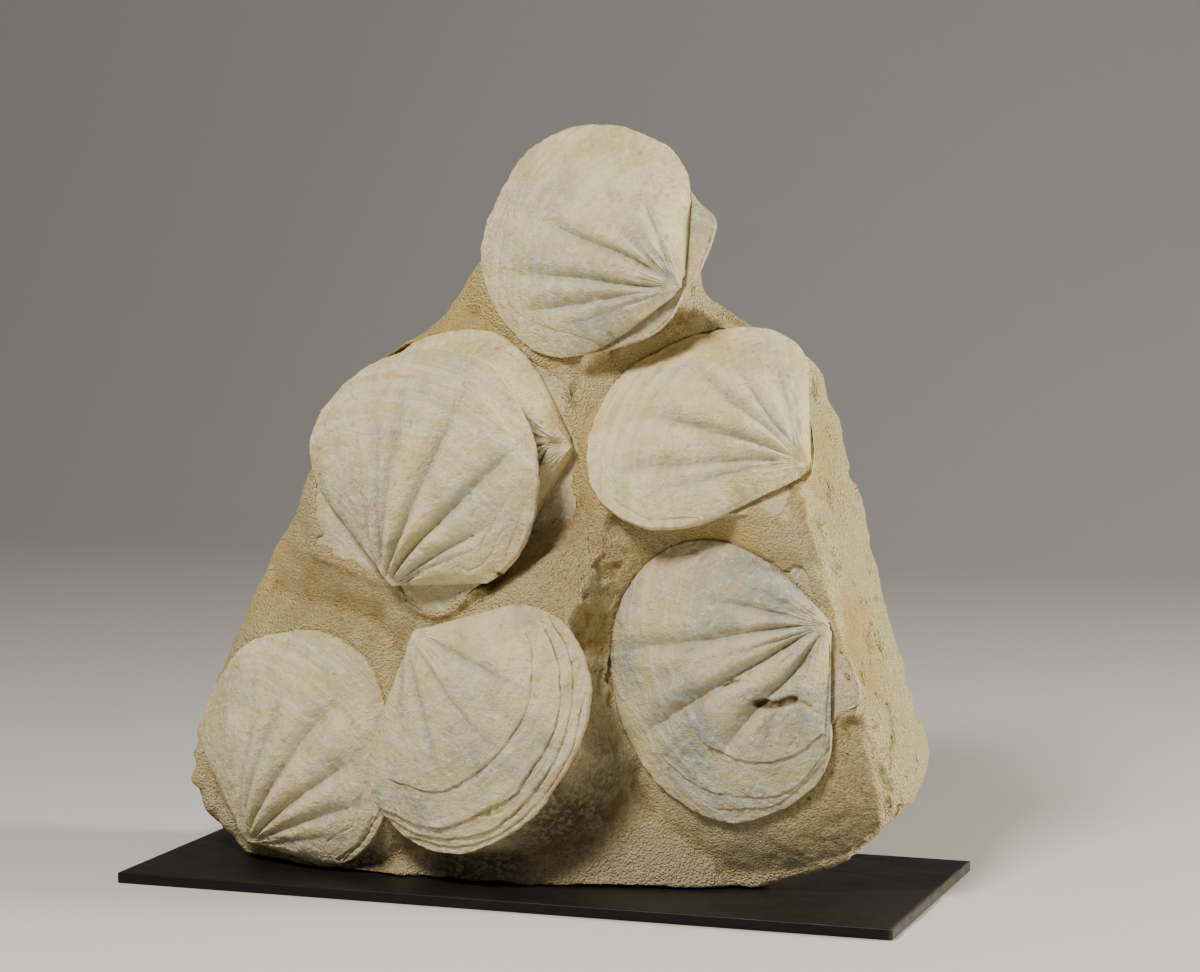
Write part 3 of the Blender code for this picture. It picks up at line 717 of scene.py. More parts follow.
def rough_block():
    solid = bpy.data.objects["matrix_block"]
    piece = solid.copy()
    piece.data = solid.data.copy()
    bpy.context.scene.collection.objects.link(piece)
    piece.name = piece.data.name = "limestone"
    edit(piece, "VERT")
    bpy.ops.mesh.select_all(action="SELECT")
    bpy.ops.mesh.remove_doubles(threshold=1e-5)
    bpy.ops.object.mode_set(mode="OBJECT")
    return piece


# Masses that the plain block lacks: where they are, and their reach along X, Y and Z.
KNOBS = (
    ((-0.271, -0.024, 0.101), (0.009, 0.013, 0.010)), ((-0.274, -0.026, 0.084), (0.008, 0.012, 0.008)),
    ((-0.273, -0.028, 0.066), (0.010, 0.014, 0.009)), ((-0.262, -0.030, 0.050), (0.009, 0.014, 0.009)),
    ((-0.247, -0.032, 0.036), (0.010, 0.013, 0.008)),
)


def add_knobs(piece):
    """Join an egg-shaped mass to the block for each knob; the remesh then fuses them."""
    eggs = []
    for place, reach in KNOBS:
        bpy.ops.mesh.primitive_uv_sphere_add(segments=24, ring_count=14, radius=1, location=place)
        eggs.append(bpy.context.object)
        eggs[-1].scale = reach
    only(piece)
    for egg in eggs:
        egg.select_set(True)
    bpy.ops.object.join()


stone = rough_block()
add_knobs(stone)
apply_modifier(stone, "REMESH", mode="VOXEL", voxel_size=SKIN * 1.2)
print("even skin:", triangles(stone), "triangles")


# %% How far a point lies from an outline
def signed_distance(x, y, corners_x, corners_y):
    """Distance from a closed outline, less than 0 inside it."""
    closed_x, closed_y = np.append(corners_x, corners_x[0]), np.append(corners_y, corners_y[0])
    away = line_distance(x, y, closed_x, closed_y)
    inside = np.zeros(len(x), bool)
    for x0, y0, x1, y1 in zip(closed_x, closed_y, closed_x[1:], closed_y[1:]):
        if y0 != y1:
            crossing = ((y0 > y) != (y1 > y)) & (x < (x1 - x0) * (y - y0) / (y1 - y0) + x0)
            inside ^= crossing
    return np.where(inside, -away, away)


def outline_of(shell, points):
    """The closed outline through the beak, about the beak."""
    x, y = smooth_line(*seen_from_tip(shell, points), 70)
    return np.append(x, 0), np.append(y, 0)


# %% Heights above a shell's hinge plane
def plane_y(shell, x, z, height):
    """Where a line along Y meets the plane at this height above the shell's hinge plane."""
    place = place_of(shell)
    normal, tip = place.to_3x3().col[2], place.translation
    return tip.y + (height - normal.x * (x - tip.x) - normal.z * (z - tip.z)) / normal.y


def flat_place(shell, x, y, z):
    """Points as x, y and height in the shell's own frame."""
    inverse = np.array(place_of(shell).inverted())
    return inverse[:3, :3] @ np.stack([x, y, z]) + inverse[:3, 3:]


# %% The bed round the shells
FARTHEST_FIRST = (BEHIND, TOP, UPPER_RIGHT, LOWER_RIGHT, LOWER_LEFT, UPPER_LEFT, LOWER_MIDDLE)
FALL_RADIUS = 0.080
DEEPEST_FRONT = 0.034
# How the stone may rise in front of a shell: angle, metres from the margin, and rise per metre.
GUARD = ((0, 0.016, 0.9),)
OWN_GUARD = {
    "scallop_upper_right": ((0, 0.022, 0.3),),
    "scallop_lower_right": ((-30, 0.016, 0.9), (0, 0.008, 1.5), (28, 0.008, 1.5),
                            (50, 0.040, 0.38), (140, 0.036, 0.42), (160, 0.016, 0.9)),
}
GUARD_WALL = 2.5
BURIED = 0.006
UNDER_RIM = 0.006
EAR_BED = 0.0016


def bed_of(shell, x, z):
    """Distances from the shell's outlines, and how the stone should lie there."""
    u, v, _ = flat_place(shell, x, plane_y(shell, x, z, 0), z)
    away = signed_distance(u, v, *outline_of(shell, shell.margin))
    ear_away = away
    if shell.name in EARS:
        ear_away = signed_distance(u, v, *outline_of(shell, EARS[shell.name]))
    bed = np.array(shell.bed, float)
    degrees = np.degrees(np.arctan2(u, v))
    level, slope, inset = (np.interp(degrees, bed[:, 0], bed[:, n]) for n in (1, 2, 3))
    guard = np.array(OWN_GUARD.get(shell.name, GUARD))
    width, rise = (np.interp(degrees, guard[:, 0], guard[:, n]) for n in (1, 2))
    return away, ear_away, level * MM, slope, inset * MM, width, rise


def sand_over(x, z):
    """How far sand still covers the edge of an ear, in metres."""
    return 0.0055 * rising(lumps(np.stack([x, 0 * x, z], 1), 0.016, 41), -0.2, 0.3)


def shaped_front(x, z, front):
    """Where the stone's front should be, from where it is."""
    beds = {shell.name: bed_of(shell, x, z) for shell in SHELLS}
    y, covered = front.copy(), sand_over(x, z)
    for shell in SHELLS:
        away, ear_away, level, slope, *_ = beds[shell.name]
        out = np.clip(np.minimum(away, ear_away + 0.002), 0, 1)
        fall = level + slope * out + out**2 / (2 * FALL_RADIUS)
        y = np.minimum(y, plane_y(shell, x, z, -fall))
    for shell in FARTHEST_FIRST:
        away, ear_away, level, slope, inset, width, rise = beds[shell.name]
        out = np.clip(np.minimum(away, ear_away), 0, 1)
        guard = -level + rise * out + GUARD_WALL * np.clip(out - width, 0, 1)
        y = np.where(out < width + 0.020, np.maximum(y, plane_y(shell, x, z, guard)), y)
        ear_bed = EAR_DEPTH.get(shell.name, 0) + EAR_BED
        y = np.where(ear_away < 0.001, np.maximum(y, plane_y(shell, x, z, -ear_bed)), y)
        if shell.name in EARS:
            banked = (ear_away > -covered) & (ear_away < 0.004) & (away > 0.002)
            bank = plane_y(shell, x, z, 0.0014 - EAR_DEPTH[shell.name])
            y = np.where(banked, np.minimum(y, bank), y)
        y = np.where(away < -inset - UNDER_RIM, plane_y(shell, x, z, -BURIED), y)
    return np.minimum(y, DEEPEST_FRONT)


# %% Push the front to its bed
OUTLINE_FADE_LEFT, OUTLINE_FADE_RIGHT = 0.020, 0.006
SLAB = ((-0.226, -0.010), (0.160, -0.010), (0.178, 0.008), (0.264, 0.038), (0.289, 0.064),
        (0.284, 0.100), (0.260, 0.170), (0.240, 0.250), (0.218, 0.330), (0.200, 0.384),
        (0.170, 0.402), (0.108, 0.440), (0.102, 0.500), (0.056, 0.552), (-0.012, 0.552),
        (-0.052, 0.476), (-0.090, 0.422), (-0.146, 0.382), (-0.186, 0.300), (-0.234, 0.220),
        (-0.262, 0.150), (-0.281, 0.104), (-0.284, 0.064), (-0.272, 0.040), (-0.250, 0.018))
FRONT_FOOT, FRONT_RISE, SLAB_HEIGHT = -0.034, 0.046, 0.56
MID_DEPTH = 0.048
# The front edge of the block's foot, as (x, y), and how fast the front draws back above it.
FOOT_LINE = ((-0.245, -0.018), (-0.185, -0.044), (-0.127, -0.060), (-0.054, -0.074), (-0.012, -0.072),
             (0.064, -0.065), (0.140, -0.047), (0.170, -0.026), (0.200, -0.026))
FOOT_SLOPE = 0.30
# The edge where the front meets the broken side at the lower right, as x for each z, and the
# broken side itself, behind that edge.
BROKEN_Z, BROKEN_X = (0.048, 0.066, 0.100, 0.170, 0.235), (0.262, 0.272, 0.268, 0.250, 0.235)
SIDE_Z = (0.040, 0.058, 0.072, 0.098, 0.120, 0.154, 0.191, 0.250, 0.300, 0.340, 0.384)
SIDE_X = (0.245, 0.266, 0.279, 0.281, 0.276, 0.262, 0.248, 0.235, 0.222, 0.211, 0.198)


def bed_the_shells(piece):
    places = points_of(piece)
    x, y, z = places.T
    slab = np.array(SLAB)
    within = -signed_distance(x, z, slab[:, 0], slab[:, 1])
    fade = OUTLINE_FADE_LEFT + (OUTLINE_FADE_RIGHT - OUTLINE_FADE_LEFT) * rising(x, -0.05, 0.12)
    share = rising(within, -0.002, fade) * (y < MID_DEPTH)
    facing = rising(-normals_of(piece)[:, 1], 0.0, 0.5)
    share = share * np.maximum(facing, rising(within, 0.012, 0.024))
    front = FRONT_FOOT + FRONT_RISE * z / SLAB_HEIGHT
    foot = np.interp(x, [spot[0] for spot in FOOT_LINE], [spot[1] for spot in FOOT_LINE])
    front = np.minimum(front, foot + FOOT_SLOPE * z)
    target = shaped_front(x, z, front)
    places[:, 1] = y + share * (target - y)
    wall = np.interp(z, BROKEN_Z, BROKEN_X)
    beside = rising(x, wall - 0.016, wall - 0.005) * (z < BROKEN_Z[-1]) * (z > BROKEN_Z[0])
    beside = beside * (1 - rising(places[:, 1], 0.0, 0.040))
    chips = 0.003 * lumps(places, 0.018, 38)
    places[:, 0] = x + beside * (np.maximum(wall + chips, x) - x)
    side = np.interp(z, SIDE_Z, SIDE_X) + (z > SIDE_Z[-1]) + 0.5 * chips
    places[:, 0] = np.minimum(places[:, 0], side)
    move_points(piece, places)


def drop_crumbs(piece):
    """Keep the largest of the bodies that a piece has come apart into."""
    only(piece)
    bpy.ops.object.mode_set(mode="EDIT")
    bpy.ops.mesh.separate(type="LOOSE")
    bpy.ops.object.mode_set(mode="OBJECT")
    bodies = sorted(bpy.context.selected_objects, key=lambda body: len(body.data.vertices))
    kept = bodies.pop()
    for crumb in bodies:
        bpy.data.objects.remove(crumb)
    kept.name = kept.data.name = "limestone"
    return kept


bed_the_shells(stone)
apply_modifier(stone, "REMESH", mode="VOXEL", voxel_size=SKIN)
stone = drop_crumbs(stone)
apply_modifier(stone, "SMOOTH", iterations=4)
print("bedded:", triangles(stone), "triangles")

# %% [markdown]
# Next the skin is roughened, with lumps of four sizes from fist to coarse grain. The back and the
# left flank get larger ones, and the broken right side gets dents. The valley between the shells
# and the foot are coarser, because there the stone was picked away grain by grain. At the end any
# point that came up through a shell is put back below it.

# %% Roughen it
COARSE_SPOTS = ((Vector((-0.01, -0.07, 0.06)), 0.13), (Vector((0.07, -0.05, 0.22)), 0.09),
                (Vector((0.25, -0.04, 0.11)), 0.11))


def near_spots(places, spots, core=0.3):
    """1 within the core of a spot, a share of its reach, falling to 0 at its reach."""
    near = np.zeros(len(places))
    for middle, reach in spots:
        away = np.linalg.norm(places - np.array(middle), axis=1)
        near = np.maximum(near, 1 - rising(away, core * reach, reach))
    return near


def coarseness(places):
    return near_spots(places, COARSE_SPOTS, 0.4)


# Holes in the stone: where they are, how wide and how deep.
HOLES = ((Vector((0.269, 0.020, 0.129)), 0.005, 0.005), (Vector((0.262, 0.015, 0.104)), 0.004, 0.004),
         (Vector((0.268, 0.040, 0.151)), 0.004, 0.003), (Vector((-0.166, -0.030, 0.248)), 0.006, 0.006),
         (Vector((-0.154, -0.040, 0.242)), 0.004, 0.005), (Vector((0.252, -0.008, 0.297)), 0.006, 0.004),
         (Vector((0.256, -0.010, 0.315)), 0.004, 0.003), (Vector((0.250, -0.010, 0.200)), 0.004, 0.003))


def roughen(piece):
    places, outward = points_of(piece), normals_of(piece)
    coarse = coarseness(places)
    height = 0.0026 * lumps(places, 0.070, 31)
    height += 0.0013 * lumps(places, 0.024, 32)
    height += (0.0003 + 0.0007 * coarse) * lumps(places, 0.009, 33)
    height += (0.0002 + 0.0005 * coarse) * lumps(places, 0.0042, 34, 2)
    back = rising(places[:, 1], 0.030, 0.055)
    height += back * 0.0060 * (0.35 - np.abs(lumps(places, 0.085, 37)))
    lobes = 1 - rising(places[:, 0], -0.250, -0.225)
    height += lobes * 0.0035 * np.abs(lumps(places, 0.028, 36, 2))
    side = rising(outward[:, 0], 0.35, 0.7)
    height -= side * 0.0035 * rising(lumps(places, 0.030, 39, 3), 0.25, 0.50)
    for middle, radius, depth in HOLES:
        away = np.linalg.norm(places - np.array(middle), axis=1) / radius
        height -= depth * np.exp(-(away**2)) * (1 + 0.4 * lumps(places, 0.004, 40, 1))
    move_points(piece, places + outward * height[:, None])


def clear_the_shells(piece):
    """Put back any stone that stands in front of a shell's face or of an ear."""
    places = points_of(piece)
    covered = np.zeros(len(places), bool)
    sand = sand_over(places[:, 0], places[:, 2])
    for shell in reversed(FARTHEST_FIRST):
        x, y, z = places.T
        u, v, height = flat_place(shell, x, y, z)
        near = (height > -0.012) & (height < 0.045) & (y < MID_DEPTH) & ~covered
        away, ear_away = np.full(len(x), 1.0), np.full(len(x), 1.0)
        away[near] = signed_distance(u[near], v[near], *outline_of(shell, shell.margin))
        inside = away < 0.001
        places[inside, 1] = np.maximum(y, plane_y(shell, x, z, -0.0012))[inside]
        if shell.name in EARS:
            ears = outline_of(shell, EARS[shell.name])
            ear_away[near] = signed_distance(u[near], v[near], *ears)
            on_ear = (ear_away < -0.001 - sand) & ~inside
            floor = plane_y(shell, x, z, -EAR_DEPTH[shell.name] - 0.0014)
            places[on_ear, 1] = np.maximum(y, floor)[on_ear]
        covered |= away < 0
    move_points(piece, places)


roughen(stone)
clear_the_shells(stone)
MOST_TRIANGLES = 192000
share = min(1.0, MOST_TRIANGLES / triangles(stone))
print("rough:", triangles(stone), "triangles, of which", round(share, 2), "are kept")
apply_modifier(stone, "DECIMATE", ratio=share, use_collapse_triangulate=True)


# %% Find its hollows
def neighbours_mean(places, pairs, rounds):
    """The points after each has moved to the middle of its neighbours, this many times."""
    count = np.bincount(pairs.ravel(), minlength=len(places))[:, None]
    for _ in range(rounds):
        total = np.zeros_like(places)
        for axis in range(3):
            total[:, axis] = np.bincount(pairs[:, 0], places[pairs[:, 1], axis], len(places))
            total[:, axis] += np.bincount(pairs[:, 1], places[pairs[:, 0], axis], len(places))
        places = total / np.maximum(count, 1)
    return places


def hollows(piece, rounds):
    """How far each point lies below the mean of what is round it, in metres."""
    pairs = np.empty(len(piece.data.edges) * 2, np.int32)
    piece.data.edges.foreach_get("vertices", pairs)
    places = points_of(piece)
    mean = neighbours_mean(places, pairs.reshape(-1, 2), rounds)
    return ((mean - places) * normals_of(piece)).sum(1)


GOLDEN_SPOTS = ((Vector((0.255, -0.01, 0.34)), 0.09), (Vector((0.151, -0.05, 0.275)), 0.06),
                (Vector((-0.240, -0.02, 0.235)), 0.07), (Vector((-0.075, -0.02, 0.430)), 0.08),
                (Vector((0.036, -0.05, 0.205)), 0.05), (Vector((0.100, -0.03, 0.410)), 0.05),
                (Vector((0.240, -0.02, 0.190)), 0.07), (Vector((0.070, -0.05, 0.330)), 0.06))
# Spots of dark crust below and beside the shell that stands furthest out, made darker still as a painted
# shadow cast by that shell.
CRUST_AND_SHADOW_SPOTS = ((Vector((-0.016, -0.06, 0.035)), 0.045), (Vector((0.031, -0.07, 0.070)), 0.058),
               (Vector((0.048, -0.06, 0.100)), 0.048), (Vector((-0.045, -0.07, 0.018)), 0.035),
               (Vector((-0.125, -0.06, 0.012)), 0.030))


def mark_stone(piece):
    small, large = hollows(piece, 6), hollows(piece, 90)
    places, outward = points_of(piece), normals_of(piece)
    # How deep each point lies in a hollow. The finish puts rust in the hollows, and a painted shade that
    # darkens the deepest of them.
    hollow = np.clip(0.5 * small / 0.0007 + 0.5 * large / 0.012, 0, 1)
    # Faces turned to the right are made paler: a painted highlight where the right-hand lamp falls on
    # the broken side.
    right_side_highlight = rising(outward[:, 0], 0.45, 0.85)
    write_marks(piece, "marks", np.stack([hollow, right_side_highlight, coarseness(places)], 1))
    golden, crust_and_shadow = near_spots(places, GOLDEN_SPOTS), near_spots(places, CRUST_AND_SHADOW_SPOTS)
    dusty = 1 - rising(places[:, 2], 0.02, 0.10)
    write_marks(piece, "stains_and_shadow", np.stack([golden, crust_and_shadow, dusty], 1))


mark_stone(stone)
smoothed(stone, 60)
print("stone:", triangles(stone), "triangles")

# %% [markdown]
# ## The plate
#
# The plate is a board painted black. It is a plain slab, but its right end was sawn and knocked,
# so that end is divided finely and its edge is eaten into.

# %% Build the plate
PLATE_LOW, PLATE_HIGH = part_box("base_plate")


def plate():
    low, high = Vector(PLATE_LOW), Vector(PLATE_HIGH)
    bpy.ops.mesh.primitive_cube_add(size=1, location=(low + high) / 2)
    piece = bpy.context.object
    piece.name = piece.data.name = "black_plate"
    piece.scale = high - low
    bpy.ops.object.transform_apply(location=True, rotation=True, scale=True)
    apply_modifier(piece, "BEVEL", width=0.0009, segments=3)
    edit(piece, "FACE")
    bpy.ops.mesh.select_all(action="SELECT")
    for x in np.linspace(low.x + 0.02, high.x - 0.002, 90):
        bpy.ops.mesh.bisect(plane_co=(x, 0, 0), plane_no=(1, 0, 0))
        bpy.ops.mesh.select_all(action="SELECT")
    for y in np.linspace(low.y + 0.002, high.y - 0.002, 60):
        bpy.ops.mesh.bisect(plane_co=(0, y, 0), plane_no=(0, 1, 0))
        bpy.ops.mesh.select_all(action="SELECT")
    bpy.ops.object.mode_set(mode="OBJECT")
    return piece


def wear_plate(piece):
    """Chip the right end, and let the top wave by about a tenth of a millimetre."""
    places = points_of(piece)
    near_end = rising(places[:, 0], PLATE_HIGH[0] - 0.0012, PLATE_HIGH[0] - 0.0004)
    upper = rising(places[:, 2], PLATE_HIGH[2] * 0.3, PLATE_HIGH[2])
    bite = np.clip(lumps(places * [0, 1, 0.5], 0.016, 51) + 0.15, 0, 1)
    places[:, 0] -= 0.0032 * near_end * upper * bite
    top = places[:, 2] > PLATE_HIGH[2] - 1e-4
    places[top, 2] -= 0.00012 * np.clip(lumps(places[top], 0.05, 52), 0, 1)
    move_points(piece, places)


black_plate = plate()
wear_plate(black_plate)
smoothed(black_plate, 35)
print("plate:", triangles(black_plate), "triangles")

# %% [markdown]
# ## Finishes
#
# All the materials are made of nodes. Colour comes in layers, from the largest patch to the
# smallest speck, because that is how stone and old shell are coloured. Short helpers keep the
# node code readable: `add` makes a node and fills its sockets, and each value given may be a
# number, a colour or another node's output.


# %% Node helpers
def add(tree, kind, output=0, **sockets):
    """Make a node, set or link its sockets by name, and return one of its outputs."""
    made = tree.nodes.new("ShaderNode" + kind)
    for name, value in sockets.items():
        if hasattr(made, name):
            setattr(made, name, value)
            continue
        socket = made.inputs[int(name[1:])] if name[1:].isdigit() else made.inputs[name]
        if isinstance(value, bpy.types.NodeSocket):
            tree.links.new(value, socket)
        else:
            socket.default_value = value
    return made.outputs[output]


def blend(tree, share, first, second):
    """A mix of two colours."""
    made = tree.nodes.new("ShaderNodeMix")
    made.data_type = "RGBA"
    for socket, value in ((made.inputs[0], share), (made.inputs[6], first), (made.inputs[7], second)):
        if isinstance(value, bpy.types.NodeSocket):
            tree.links.new(value, socket)
        else:
            socket.default_value = (*value, 1) if isinstance(value, tuple) else value
    return made.outputs[2]


def times(tree, first, second):
    return add(tree, "Math", operation="MULTIPLY", i0=first, i1=second)


def plus(tree, first, second):
    return add(tree, "Math", operation="ADD", i0=first, i1=second)


def marks_of(tree, name):
    """The vector that a mark on the points holds."""
    return add(tree, "Attribute", output=1, attribute_name=name)


def finish_with(tree, shader, colour, height, strength, distance):
    """Colour the shader, and let a height bump it."""
    tree.links.new(colour, shader.inputs["Base Color"])
    bump = add(tree, "Bump", Strength=strength, Distance=distance, Height=height)
    tree.links.new(bump, shader.inputs["Normal"])


def spread(tree, value, low, high, least=0.0, most=1.0):
    """Stretch the part of a value between low and high over least to most."""
    return add(tree, "MapRange", interpolation_type="SMOOTHSTEP", Value=value,
               i1=low, i2=high, i3=least, i4=most)


def pattern(tree, where, size, detail=3.0, rough=0.55):
    """Noise whose lumps are about this size in metres."""
    return add(tree, "TexNoise", Vector=where, Scale=1 / size, Detail=detail, Roughness=rough)


def stretched(tree, where, factors):
    return add(tree, "VectorMath", operation="MULTIPLY", i0=where, i1=factors)


def parts_of(tree, vector):
    """The three outputs of a vector's parts."""
    return add(tree, "SeparateXYZ", Vector=vector).node.outputs


def new_finish(name, roughness, specular):
    material = bpy.data.materials.new(name)
    material.use_nodes = True
    tree = material.node_tree
    shader = tree.nodes["Principled BSDF"]
    shader.inputs["Roughness"].default_value = roughness
    shader.inputs["Specular IOR Level"].default_value = specular
    return material, tree, shader


# %% Old shell
CREAM = (0.81, 0.70, 0.405)
OCHRE_STAIN = (0.62, 0.45, 0.18)
BLUE_GREY = (0.33, 0.345, 0.295)
CHALK = (0.84, 0.775, 0.555)
BROWN_DIRT = (0.17, 0.11, 0.05)
DEEP_DIRT = (0.060, 0.032, 0.017)
BROKEN_SHELL = (0.63, 0.52, 0.31)
SHELL_BUMP = 0.0026


def shell_finish(name, base, stain, grey_share):
    material, tree, shader = new_finish(name, 0.88, 0.2)
    where = add(tree, "TexCoord", output=3)
    growth = marks_of(tree, "growth")
    dirt = parts_of(tree, growth)[2]
    marks = parts_of(tree, marks_of(tree, "marks"))
    furrow_patina_and_shade, grey, worn = marks[0], marks[1], marks[2]
    rings = pattern(tree, stretched(tree, growth, (30, 300, 0)), 1.0, 5, 0.6)
    rays = pattern(tree, stretched(tree, growth, (420, 25, 0)), 1.0, 3)
    bands = pattern(tree, stretched(tree, growth, (12, 120, 0)), 1.0, 3, 0.5)
    blotch = pattern(tree, where, 0.030, 6, 0.62)
    fleck = pattern(tree, where, 0.0075, 4, 0.6)
    cloud = pattern(tree, where, 0.075, 3)
    speck = pattern(tree, where, 0.0011, 2)
    colour = blend(tree, spread(tree, blotch, 0.48, 0.60, 0, stain), base, OCHRE_STAIN)
    grey = times(tree, grey, spread(tree, cloud, 0.34, 0.60, 0.30, grey_share))
    colour = blend(tree, grey, colour, BLUE_GREY)
    # Blue-grey in the furrows: partly patina, partly painted shade in the valleys.
    colour = blend(tree, times(tree, furrow_patina_and_shade, 0.72), colour, BLUE_GREY)
    colour = blend(tree, spread(tree, fleck, 0.53, 0.66, 0, 0.45), colour, CHALK)
    colour = blend(tree, spread(tree, fleck, 0.47, 0.32, 0, 0.60), colour, OCHRE_STAIN)
    outer = spread(tree, parts_of(tree, growth)[1], 0.070, 0.150, 0.35, 1.0)
    for ring, low, high, share, tint in (
        (bands, 0.50, 0.62, 0.40, OCHRE_STAIN), (bands, 0.48, 0.36, 0.30, CHALK),
        (rings, 0.52, 0.66, 0.55, OCHRE_STAIN), (rings, 0.46, 0.34, 0.40, CHALK),
    ):
        share = times(tree, outer, spread(tree, ring, low, high, 0, share))
        colour = blend(tree, share, colour, tint)
    colour = blend(tree, spread(tree, rays, 0.52, 0.70, 0, 0.20), colour, CHALK)
    colour = blend(tree, spread(tree, worn, 0.3, 1.0, 0, 0.35), colour, OCHRE_STAIN)
    colour = blend(tree, spread(tree, dirt, 0.10, 0.8, 0, 0.85), colour, BROWN_DIRT)
    colour = blend(tree, spread(tree, dirt, 0.60, 0.95, 0, 0.95), colour, DEEP_DIRT)
    colour = blend(tree, spread(tree, speck, 0.69, 0.77, 0, 0.50), colour, BROWN_DIRT)
    height = times(tree, rings, 0.25)
    height = plus(tree, height, times(tree, speck, 0.6))
    height = plus(tree, height, times(tree, fleck, 0.7))
    height = plus(tree, height, pattern(tree, where, 0.0045, 6, 0.62))
    finish_with(tree, shader, colour, height, 1.0, SHELL_BUMP)
    return material


shell_cream = shell_finish("old_shell_cream", CREAM, 0.62, 1.0)
shell_grey = shell_finish("old_shell_broken", BROKEN_SHELL, 0.75, 0.7)

# %% Sandy limestone
BEIGE = (0.82, 0.655, 0.34)
OCHRE = (0.65, 0.48, 0.215)
PALE_SAND = (0.87, 0.755, 0.43)
RUST = (0.50, 0.31, 0.10)
GOLD = (0.84, 0.60, 0.21)
FOOT_DUST = (0.70, 0.58, 0.38)
# The next colour is painted shade, for the deepest hollows.
HOLLOW_SHADE = (0.24, 0.16, 0.07)
# The next colour is dark crust together with painted shadow, below the shell that stands furthest out.
CRUST_AND_SHADOW = (0.150, 0.122, 0.080)
DARK_GRAIN = (0.15, 0.10, 0.05)
DARK_SAND = (0.34, 0.235, 0.10)
GRAINS_PER_METRE = 600.0
STONE_BUMP = 0.0034


def stone_finish():
    material, tree, shader = new_finish("sandy_limestone", 0.95, 0.12)
    where = add(tree, "TexCoord", output=3)
    marks = parts_of(tree, marks_of(tree, "marks"))
    hollow, right_side_highlight, coarse = marks[0], marks[1], marks[2]
    cloud = pattern(tree, where, 0.085, 4)
    blotch = pattern(tree, where, 0.022, 5)
    stains_and_shadow = parts_of(tree, marks_of(tree, "stains_and_shadow"))
    golden, crust_and_shadow = stains_and_shadow[0], stains_and_shadow[1]
    grit = pattern(tree, where, 0.0030, 5, 0.7)
    pores = pattern(tree, where, 0.0048, 4, 0.65)
    sand = parts_of(tree, add(tree, "TexVoronoi", output=1, Vector=where, Scale=GRAINS_PER_METRE))
    grainy = plus(tree, 0.40, times(tree, coarse, 0.6))
    colour = blend(tree, spread(tree, cloud, 0.42, 0.64), BEIGE, OCHRE)
    colour = blend(tree, spread(tree, blotch, 0.48, 0.70, 0, 0.6), colour, PALE_SAND)
    colour = blend(tree, times(tree, coarse, 0.60), colour, OCHRE)
    # Painted highlight: paler sand on faces turned to the right, where the right-hand lamp falls.
    colour = blend(tree, times(tree, right_side_highlight, 0.95), colour, PALE_SAND)
    colour = blend(tree, times(tree, stains_and_shadow[2], 0.6), colour, FOOT_DUST)
    colour = blend(tree, spread(tree, grit, 0.54, 0.70, 0, 0.55), colour, PALE_SAND)
    between = times(tree, spread(tree, grit, 0.48, 0.34, 0, 0.68), grainy)
    colour = blend(tree, between, colour, DARK_SAND)
    colour = blend(tree, spread(tree, sand[0], 0.75, 0.98, 0, 0.45), colour, PALE_SAND)
    patches = times(tree, golden, spread(tree, blotch, 0.36, 0.60, 0.35, 0.9))
    colour = blend(tree, patches, colour, GOLD)
    colour = blend(tree, spread(tree, hollow, 0.15, 0.80, 0, 0.38), colour, RUST)
    dark = times(tree, spread(tree, pores, 0.40, 0.28, 0, 0.9), grainy)
    colour = blend(tree, dark, colour, DARK_GRAIN)
    # Painted shade: the deepest hollows are darkened.
    colour = blend(tree, spread(tree, hollow, 0.50, 1.0, 0, 0.22), colour, HOLLOW_SHADE)
    # Dark crust and painted shadow below the shell that stands furthest out.
    crust_and_shadow_share = times(tree, crust_and_shadow, spread(tree, pores, 0.62, 0.44, 0.35, 0.95))
    colour = blend(tree, crust_and_shadow_share, colour, CRUST_AND_SHADOW)
    round_grains = add(tree, "TexVoronoi", output=0, Vector=where, Scale=GRAINS_PER_METRE)
    height = plus(tree, times(tree, grit, 2.2), times(tree, round_grains, -1.2))
    height = plus(tree, height, times(tree, pores, grainy))
    finish_with(tree, shader, colour, height, 1.0, STONE_BUMP)
    return material


limestone = stone_finish()

# %% Black paint, dusty on top
PAINT = (0.006, 0.006, 0.0065)
DUST = (0.032, 0.028, 0.021)
BARE_BOARD = (0.09, 0.08, 0.06)


def paint_finish():
    material, tree, shader = new_finish("dusty_black_paint", 0.45, 0.18)
    where = add(tree, "TexCoord", output=3)
    facing = parts_of(tree, add(tree, "NewGeometry", output=1))[2]
    film = pattern(tree, stretched(tree, where, (1, 2.2, 1)), 0.045, 8, 0.72)
    speck = pattern(tree, where, 0.0016, 2)
    up = spread(tree, facing, 0.6, 0.95)
    dusty = times(tree, up, spread(tree, film, 0.40, 0.72, 0.05, 0.35))
    colour = blend(tree, dusty, PAINT, DUST)
    specks = times(tree, up, spread(tree, speck, 0.66, 0.76))
    colour = blend(tree, specks, colour, DUST)
    end = spread(tree, parts_of(tree, where)[0], PLATE_HIGH[0] - 0.004, PLATE_HIGH[0] - 0.0005)
    colour = blend(tree, times(tree, end, 0.5), colour, BARE_BOARD)
    rough = add(tree, "MapRange", Value=dusty, i1=0.0, i2=0.4, i3=0.42, i4=0.65)
    tree.links.new(rough, shader.inputs["Roughness"])
    finish_with(tree, shader, colour, pattern(tree, where, 0.003, 4), 0.25, 0.0003)
    return material


black_paint = paint_finish()
print("finishes:", [m.name for m in (shell_cream, shell_grey, limestone, black_paint)])


# %% Give each piece its finish and its place on the body
def settle(piece, finish, slot, *nodes):
    """The piece's finish, the solids it stands for, and the body it rides on."""
    piece.data.materials.clear()
    piece.data.materials.append(finish)
    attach(piece, "root")
    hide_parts(*nodes)


